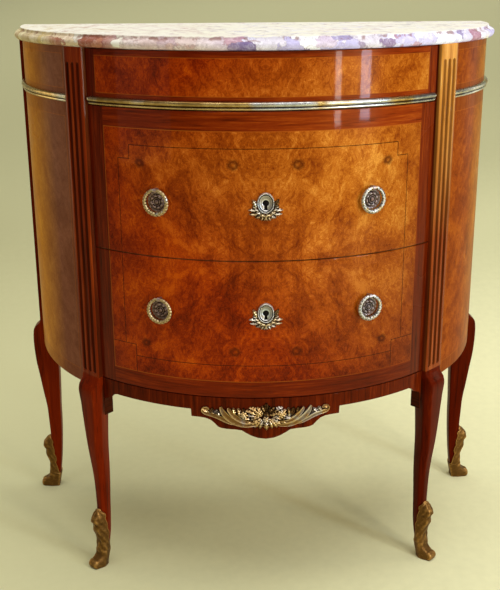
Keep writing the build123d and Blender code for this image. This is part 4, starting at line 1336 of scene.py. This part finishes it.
def escutcheon(name, height):
    """An oval keyhole plate on a spray of two leafy branches, with a dark sheet behind it as painted
    shade in the keyhole.
    """
    node = f"{name}_escutcheon"
    for make, finish, slot, nodes, smooth in (
        (keyhole_plate, SILVER_GILT, "gilt_brass", (node,), 50),
        (keyhole_spray, LEAF_GILT, "gilt_brass", (), 50),
        (keyhole_shade, KEY_SHADE, "lock_brass", (), 35),
    ):
        mesh = bmesh.new()
        make(mesh)
        wrap(mesh, height)
        made = f"{name}_{make.__name__}"
        piece(mesh, made, body_of(node), finish, slot, *nodes, smooth=smooth, close=True)


# ---------------------------------------------------------------- apron mount

# Section of a scroll: share of its half width, and share of its rise
BAND_SECTION = (
    *((-1.0, 0.0), (-0.97, 0.66), (-0.86, 0.84), (-0.6, 0.74), (0.0, 0.84)),
    *((0.5, 1.0), (0.8, 1.06), (0.97, 0.78), (1.0, 0.0)),
)
# Scrolls of one arm: the points they run through, their widths on the way, and their rise
ARM_BANDS = (
    (
        (
            *((14, -13.0), (28.6, -13.8), (38.9, -12.0), (47.8, -8.0)),
            *((55.4, -3.0), (61.6, 3.0), (65.8, 8.8), (67.8, 14.4)),
        ),
        (3.6, 6.6, 8.6, 10.0, 10.4, 9.4, 7.0, 3.0),
        4.6,
    ),
    (
        ((18, -8), (30.5, -8.0), (42.2, -2.6), (50.2, 4.4), (55.0, 10.0), (56.4, 13.4)),
        (3.4, 6.6, 8.4, 7.6, 5.8, 2.8),
        5.4,
    ),
    (
        (
            *((40, -12.4), (52, -11.0), (61, -7.0), (70, -2.4), (77.4, 0.6), (85, 2.4)),
            *((91.4, 3.8), (94.6, 6.8), (93.4, 10.2), (89, 11.0), (86.0, 8.6)),
        ),
        (2.4, 5.0, 6.4, 7.2, 7.4, 7.0, 6.4, 6.0, 5.4, 4.6, 3.0),
        3.8,
    ),
)
# Leaves of an arm and of the middle: root, tip, width, lift and curl
ARM_LEAVES = (
    ((80, 2.0), (71.2, 9.6), 9.0, 3.6, 0.2),
    ((86, 3.6), (79.2, 11.6), 8.0, 4.2, 0.2),
    ((88, 5.6), (96.6, 10.8), 6.4, 4.6, -0.2),
    ((70, -1.0), (72.4, 6.4), 8.0, 3.4, 0.1),
    ((46, 1.5), (49.4, 13.8), 9.0, 4.6, -0.1),
    ((39, -2.0), (42.6, 13.6), 9.6, 4.8, 0.1),
    ((34, -6.0), (33.0, 13.6), 9.0, 4.2, -0.1),
    ((22, -8.0), (32.4, -12.0), 9.0, 5.4, 0.1),
    ((24, -4.0), (41.0, -3.4), 9.0, 5.6, 0.15),
)
MIDDLE_LEAVES = (
    ((0, -5), (0.8, -22.8), 11.0, 5.6, 0.0),
    ((4, -5), (9.4, -20.4), 10.0, 5.0, 0.15),
    ((6, -4), (17.0, -18.6), 11.0, 5.4, 0.1),
    ((8, -3), (24.0, -15.0), 12.0, 5.6, 0.1),
    ((10, 0), (25.0, -6.0), 10.0, 5.2, 0.1),
    ((5, 3), (19.6, 6.6), 10.0, 5.4, -0.1),
    ((4, 6), (14.0, 14.8), 9.6, 5.2, -0.1),
    ((12, 8), (25.6, 14.4), 8.4, 4.8, 0.1),
    ((2, 8), (5.8, 17.0), 8.0, 5.2, 0.0),
    ((0, 8), (0.6, 21.8), 9.4, 5.8, 0.0),
    ((0, -4), (0.4, 11.5), 13.0, 6.2, 0.0),
    ((13, 3), (31.0, 9.6), 9.6, 5.6, 0.1),
    ((12, 0), (33.0, 2.0), 9.6, 5.4, 0.1),
)
# Flowers: middle, reach, size of a berry, and berries in the outer round
FLOWERS = (
    ((-10.4, 6.6), 4.4, 1.9, 7),
    ((-33.0, 3.4), 4.0, 1.9, 7),
    ((23.4, 4.6), 5.0, 2.1, 8),
    ((0.2, -3.4), 3.6, 1.8, 6),
    ((15.6, -7.6), 2.8, 1.5, 5),
    ((-15.6, -7.6), 2.8, 1.5, 5),
)
FLOWER_LIFT = 4.4


def band(mesh, side, run, widths, lift):
    """A flat gilt scroll with raised edges that follows a run of points."""
    rings = []
    for point, ahead, share in walked(curve_through([(side * x, y, 0) for x, y in run], 7)):
        out = Vector((-ahead.y, ahead.x, 0))
        slot = share * (len(widths) - 1)
        low = min(int(slot), len(widths) - 2)
        width = widths[low] + (widths[low + 1] - widths[low]) * (slot - low)
        rise = lift * (0.55 + 0.45 * math.sin(math.pi * min(1, 0.25 + share * 0.7)))
        half = out * (width / 2)
        ring = [point + half * x + Vector((0, 0, up * rise + 0.2)) for x, up in BAND_SECTION]
        rings.append(ring + [point + half * x - Vector((0, 0, 0.3)) for x in (0.9, -0.9)])
    tube(mesh, rings)


def flower(mesh, middle, reach, radius, count):
    """A round flower: two rounds of berries about a larger one."""
    spots = [(0.0, 0.0, radius * 1.25, FLOWER_LIFT + radius * 0.5)]
    for ring, share in ((count, 1.0), (count - 3, 0.52)):
        for index in range(ring):
            turn = math.tau * (index + share) / ring
            up = FLOWER_LIFT + (1 - share) * radius
            spots.append((reach * share * math.cos(turn), reach * share * math.sin(turn), radius, up))
    for x, y, size, up in spots:
        place = Matrix.Translation((middle[0] + x, middle[1] + y, up))
        bmesh.ops.create_icosphere(mesh, subdivisions=2, radius=size, matrix=place)


def apron_mount():
    """Gilt mount: flowers and leaves in the middle, with a scrolled acanthus arm each side."""
    mesh = bmesh.new()
    for side in (-1, 1):
        for scroll in ARM_BANDS:
            band(mesh, side, *scroll)
        for leaf in ARM_LEAVES:
            leaf_blade(mesh, side, *leaf)
    for leaf in MIDDLE_LEAVES:
        for side in (-1, 1) if leaf[0][0] else (1,):
            leaf_blade(mesh, side, *leaf)
    for bloom in FLOWERS:
        flower(mesh, *bloom)
    wrap(mesh, MOUNT_HEIGHT)
    piece(mesh, "acanthus_mount", "case", GILT, "gilt_brass", "apron_mount", smooth=55, close=True)


# ---------------------------------------------------------------- sabots

# Rows up a shoe: height, how far it stands before the stile's face, its breadth there, its easing,
# and how much of the leg's depth it covers
SHOE = (
    (0.0, 17.5, 0.92, 3.0, 30.0),
    (4.0, 20.0, 0.98, 3.4, 30.0),
    (10.0, 19.0, 1.0, 3.6, 29.0),
    (14.0, 12.5, 1.0, 3.8, 28.0),
    (19.0, 6.0, 1.0, 4.0, 25.0),
    (27.0, 1.6, 1.0, 4.0, 20.0),
    (40.0, 1.0, 1.0, 4.0, 12.5),
    (56.0, 4.4, 0.98, 4.4, 10.0),
    (68.0, 8.6, 0.92, 5.4, 8.0),
    (77.0, 8.8, 0.82, 6.4, 5.5),
    (82.0, 11.4, 0.84, 7.4, 4.5),
    (88.0, 12.4, 0.82, 7.6, 4.0),
    (95.0, 9.6, 0.72, 7.0, 3.0),
    (100.0, 5.6, 0.56, 5.0, 2.0),
    (104.5, 0.6, 0.3, 2.4, 1.0),
)
SHOE_WALL = 1.8
HEEL_HIGH = 21.0
LEAF_FROM = HEEL_HIGH - 5
TIP_FROM = 94
TIP_LONG = 10.6
TOE_OUT, TOE_UP, TOE_R = STILE_FACE + 13.4, 7.4, 7.2
# Half the toe's scroll: how far inside its half width, and share of its radius
TOE_PROFILE = (
    *((-0.4, 0.0), (-0.4, 0.28), (0.5, 0.36), (0.5, 0.5)),
    *((-0.2, 0.62), (0.2, 0.86), (1.4, 0.98)),
)


def leg_at(rows, up, width, depth):
    """The section of a leg at a height."""
    share = max(0.0, (up - SOLE) / (CASE_LOW - SOLE))
    low, high = next(pair for pair in zip(rows, rows[1:]) if share <= pair[1][0])
    part = (share - low[0]) / (high[0] - low[0])
    return leg_section([a + (b - a) * part for a, b in zip(low, high)], width, depth)


def shoe_relief(up, turn):
    """How far a shoe's rib, veins and knob stand out, at a height and a share of the way round."""
    rib = 0.9 * math.exp(-((turn / 0.1) ** 2)) * (up > 24)
    veins = 0.5 * math.cos(math.pi * (4.5 * abs(turn) + up / 9.5)) * (1 - abs(turn) ** 4)
    veins *= min(1.0, max(0.0, (up - 16) / 10))
    knob = 0.7 * math.cos(math.pi * up / 4.2) * (76 < up < 98) * (1 - turn * turn)
    return rib + veins + knob * 0.5


def toe(mesh, place, half):
    """The scrolled toe: a turned roll that lies across in front of the foot."""
    profile = [(-half + inset, share) for inset, share in TOE_PROFILE] + [(-half * 0.4, 0.95)]
    profile += [(-across, share) for across, share in profile[::-1]]
    turns = [math.tau * i / 28 for i in range(28)]
    rings = []
    for across, share in profile:
        reach = TOE_R * share
        ring = [(TOE_OUT + reach * math.cos(turn), TOE_UP + reach * math.sin(turn)) for turn in turns]
        rings.append([place(out, across, up) for out, up in ring])
    tube(mesh, rings)


def sabot(kind, side, label):
    """A cast shoe: a veined leaf with a curled knob outside the leg, a heel and a scrolled toe."""
    place = post_place(kind)
    table, width, depth = LEGS[kind]
    leg, rows = smoothed(table, LEG_STEP), smoothed(SHOE, 1.6)
    last = len(rows) - 1

    def axis(up):
        outer, _, _, _, thick = leg_at(leg, up, width, depth)
        return place(outer - thick / 2, 0.0, up)

    def half_way_round(up, stand, breadth, ease):
        """Points from the middle of the outer face round to the middle of the inner face."""
        outer, front, middle, back, thick = leg_at(leg, up, width, depth)
        inner = outer - thick - SHOE_WALL
        reach = max(STILE_FACE + stand, outer + SHOE_WALL)
        corners = [
            (reach, 0.0),
            (reach, (front + SHOE_WALL) * breadth),
            (outer - thick * LEG_WAIST, middle + SHOE_WALL),
            (inner, back + SHOE_WALL),
            (inner, 0.0),
        ]
        path = [Vector(corners[0])]
        for before, here, after in zip(corners, corners[1:], corners[2:]):
            path += eased(before, here, after, ease, 4)
        return path + [Vector(corners[-1])]

    def leaf_reach(up, cover, path, lengths):
        """How far along the path the leaf's lobed edge comes at a height."""
        goal = sum(lengths)
        if up > LEAF_FROM:
            lobe = 2.4 * abs(math.sin(math.pi * (up - 12) / 19.0)) - 1.2
            edge = leg_at(leg, up, width, depth)[0] - cover - lobe
            shown = 0.0
            for a, b, length in zip(path, path[1:], lengths):
                if b.x < edge and b.y > 1e-6:
                    shown += length * max(0.0, min(1.0, (a.x - edge) / max(a.x - b.x, 1e-6)))
                    break
                shown += length
            start = min(1.0, (up - HEEL_HIGH + 5) / 7)
            goal += (shown - goal) * start * start * (3 - 2 * start)
        if up > TIP_FROM:
            goal *= math.sqrt(max(0.0, 1 - ((up - TIP_FROM) / TIP_LONG) ** 2))
        return goal

    def skin(s, t):
        up, stand, breadth, ease, cover = rows[round(t * last)]
        path = half_way_round(up, stand, breadth, ease)
        lengths = [(b - a).length for a, b in zip(path, path[1:])]
        turn = 2 * s - 1
        far = abs(turn) * leaf_reach(up, cover, path, lengths)
        index = 0
        while index < len(lengths) - 1 and far > lengths[index]:
            far -= lengths[index]
            index += 1
        point = path[index].lerp(path[index + 1], min(1.0, far / max(lengths[index], 1e-6)))
        heart = Vector((path[-1].x * 0.5 + path[0].x * 0.5, 0.0))
        away = (point - heart).normalized() * shoe_relief(up, turn) * 0.8
        return place(point.x + away.x, math.copysign(max(0.0, point.y + away.y), turn), up)

    mesh = bmesh.new()
    relief(mesh, 56, last, skin)
    bmesh.ops.remove_doubles(mesh, verts=mesh.verts, dist=0.02)
    rim = [edge for edge in open_edges(mesh) if max(vert.co.z for vert in edge.verts) > 1]
    for vert in pulled(mesh, rim):
        vert.co = vert.co.lerp(axis(vert.co.z), 0.4)
    fill_holes(mesh, open_edges(mesh))
    toe(mesh, place, width / 2 * 0.42)
    name, node = f"{label}_{kind}_leaf_shoe", f"{kind}_{label}_sabot"
    piece(mesh, name, "case", SABOT_GILT, "gilt_brass", node, mirrored=side < 0, smooth=55)


# ---------------------------------------------------------------- the whole chest

def chest():
    marble_top()
    for name, levels in DRAWER_LEVELS.items():
        drawer_front(name, levels)
    apron()
    start, end = behind_stile(CASE_R, 0.3), before_rear(CASE_R, 0.3)
    for side, label in SIDES:
        side_panel(side, label)
        front_stile(side, label)
        rear_stile(side, label)
        sabot("front", side, label)
        sabot("rear", side, label)
        name, node = f"{label}_side_beads", f"{label}_side_moulding"
        moulding(name, start, end, FRIEZE_Z, node, mirrored=side < 0)
    reach = beside_stile(CASE_R + 6.5, 3.0)
    low = DRAWER_LEVELS["frieze_drawer"][0]
    moulding("frieze_beads", -reach, reach, low, "frieze_moulding", knobs=True)
    for level, height in HANDLE_HEIGHTS.items():
        for side, label in SIDES:
            wreath_ring(f"{level}_{label}", side * HANDLE_ANGLE, height)
            rosette(f"{level}_{label}", side * HANDLE_ANGLE, height)
    for level, height in KEY_HEIGHTS.items():
        escutcheon(level, height)
    apron_mount()


# ---------------------------------------------------------------- floor, light and camera

# Sizes of the floor and the wall in metres
FLOOR_HALF = 7
FLOOR_BEND_FROM = 0.5
FLOOR_BEND = 3.4
WALL_HIGH = 9
# Tones of the backdrop from the floor up: painted shade, darker up the wall
PAPER = (
    (0.0, (234, 230, 184)),
    (0.12, (202, 199, 155)),
    (0.25, (182, 179, 138)),
    (0.4, (176, 173, 133)),
    (0.6, (181, 178, 138)),
    (0.8, (164, 162, 125)),
)
# Each lamp: place, what it aims at, width and height, power and colour
LAMPS = {
    "sky_panel": ((0.3, -0.1, 5.2), (0, 0, 0.5), (4.4, 4.4), 240, (1, 1, 1)),
    "key_window": ((1.75, -1.75, 1.95), (0.2, -0.2, 0.64), (1.2, 1.2), 26, (1.0, 0.98, 0.94)),
    "front_fill": ((-0.2, -3.4, 1.5), (0, 0, 0.0), (3.0, 1.2), 16, (1.0, 0.97, 0.9)),
    "left_fill": ((-2.6, -1.8, 1.0), (0, -0.1, 0.5), (1.6, 1.8), 6, (1.0, 0.92, 0.8)),
    "left_wall": ((-2.4, 1.0, 0.9), (-0.3, -0.1, 0.5), (1.0, 1.8), 9, (1.0, 0.82, 0.5)),
    "window_bar_warm": ((1.58, -2.15, 0.68), (0.12, -0.17, 0.8), (0.14, 0.6), 12, (1.0, 0.93, 0.86)),
    "window_bar_cool": ((2.08, -1.75, 0.7), (0.14, -0.16, 0.8), (0.24, 0.6), 25, (0.62, 0.76, 1.0)),
    "right_wall": ((2.3, 1.6, 0.9), (0.3, 0.0, 0.5), (0.5, 1.8), 5, (1.0, 0.94, 0.82)),
    "right_glint": ((2.6, 0.2, 0.86), (0.28, -0.08, 0.8), (0.3, 0.5), 4, (1.0, 0.86, 0.6)),
}
WORLD_COLOUR, WORLD_LIGHT = (1.0, 0.98, 0.92, 1), 0.14
# The camera: place in metres, turns in radians, then focal length, drop and picture height in pixels
CAMERA_PLACE = (-0.0658, -1.4935, 0.9472)
CAMERA_YAW, CAMERA_PITCH, CAMERA_ROLL = 0.0331, 0.2986, -0.0061
FOCAL, DROP, PICTURE_HIGH = 956.6, -25, 590
SENSOR = 36


def backdrop():
    """A pale floor that curves up into a pale wall, with painted shade that darkens it up the wall."""
    mesh = bmesh.new()
    line = [(-7, 0), (-2, 0)]
    line += arc(FLOOR_BEND_FROM, FLOOR_BEND, FLOOR_BEND, FLOOR_BEND, -90, 0, 30)
    line.append((FLOOR_BEND_FROM + FLOOR_BEND, WALL_HIGH))
    verts = [mesh.verts.new((-FLOOR_HALF, y, z)) for y, z in line]
    edges = [mesh.edges.new(pair) for pair in zip(verts, verts[1:])]
    bmesh.ops.translate(mesh, vec=(2 * FLOOR_HALF, 0, 0), verts=pulled(mesh, edges))
    finish = Finish("pale_paper")
    fibre = finish.noise(finish.place, 60.0, 2.0, 0.5)
    across, _, height = finish.split(finish.place)
    # painted light: the backdrop is a little lighter to the right, towards the lamps
    rise = finish.sum("MULTIPLY_ADD", across, -0.1, height)
    rise = finish.sum("MULTIPLY_ADD", fibre, 0.04, rise)
    finish.colour(finish.ramp(finish.spread(rise, -0.1, 1.4), PAPER))
    finish.gloss(0.9, Specular_IOR_Level=0.1)
    kept(mesh, "pale_floor", finish.material)


def studio():
    """A soft room with lamps like the photo's windows."""
    world = bpy.data.worlds.new("soft_room")
    bpy.context.scene.world = world
    world.use_nodes = True
    shade = world.node_tree.nodes["Background"]
    shade.inputs["Color"].default_value = WORLD_COLOUR
    shade.inputs["Strength"].default_value = WORLD_LIGHT
    for name, (place, aim, size, power, colour) in LAMPS.items():
        data = bpy.data.lights.new(name, "AREA")
        data.shape = "RECTANGLE"
        data.size, data.size_y = size
        data.energy = power
        data.color = colour
        made = placed(name, data)
        made.location = place
        made.rotation_euler = (Vector(aim) - Vector(place)).to_track_quat("-Z", "Y").to_euler()


def camera():
    """A camera that stands where the photo's did, as fitted to the chest's corners."""
    yaw, pitch, roll = CAMERA_YAW, CAMERA_PITCH, CAMERA_ROLL
    level = Vector((math.cos(yaw), -math.sin(yaw), 0))
    forward = Vector((math.sin(yaw), math.cos(yaw), 0))
    ahead = forward * math.cos(pitch) - Vector((0, 0, math.sin(pitch)))
    above = level.cross(ahead)
    right = math.cos(roll) * level + math.sin(roll) * above
    up = -math.sin(roll) * level + math.cos(roll) * above
    data = bpy.data.cameras.new("viewing_camera")
    data.sensor_width = SENSOR
    data.lens = FOCAL * SENSOR / PICTURE_HIGH
    data.shift_y = DROP / PICTURE_HIGH
    data.clip_start, data.clip_end = 0.05, 50
    made = placed("viewing_camera", data)
    turn = Matrix((right, up, -ahead)).transposed()
    made.matrix_world = Matrix.Translation(CAMERA_PLACE) @ turn.to_4x4()
    bpy.context.scene.camera = made


dress_nodes()
chest()
backdrop()
studio()
camera()
bpy.context.scene.view_settings.view_transform = "Standard"
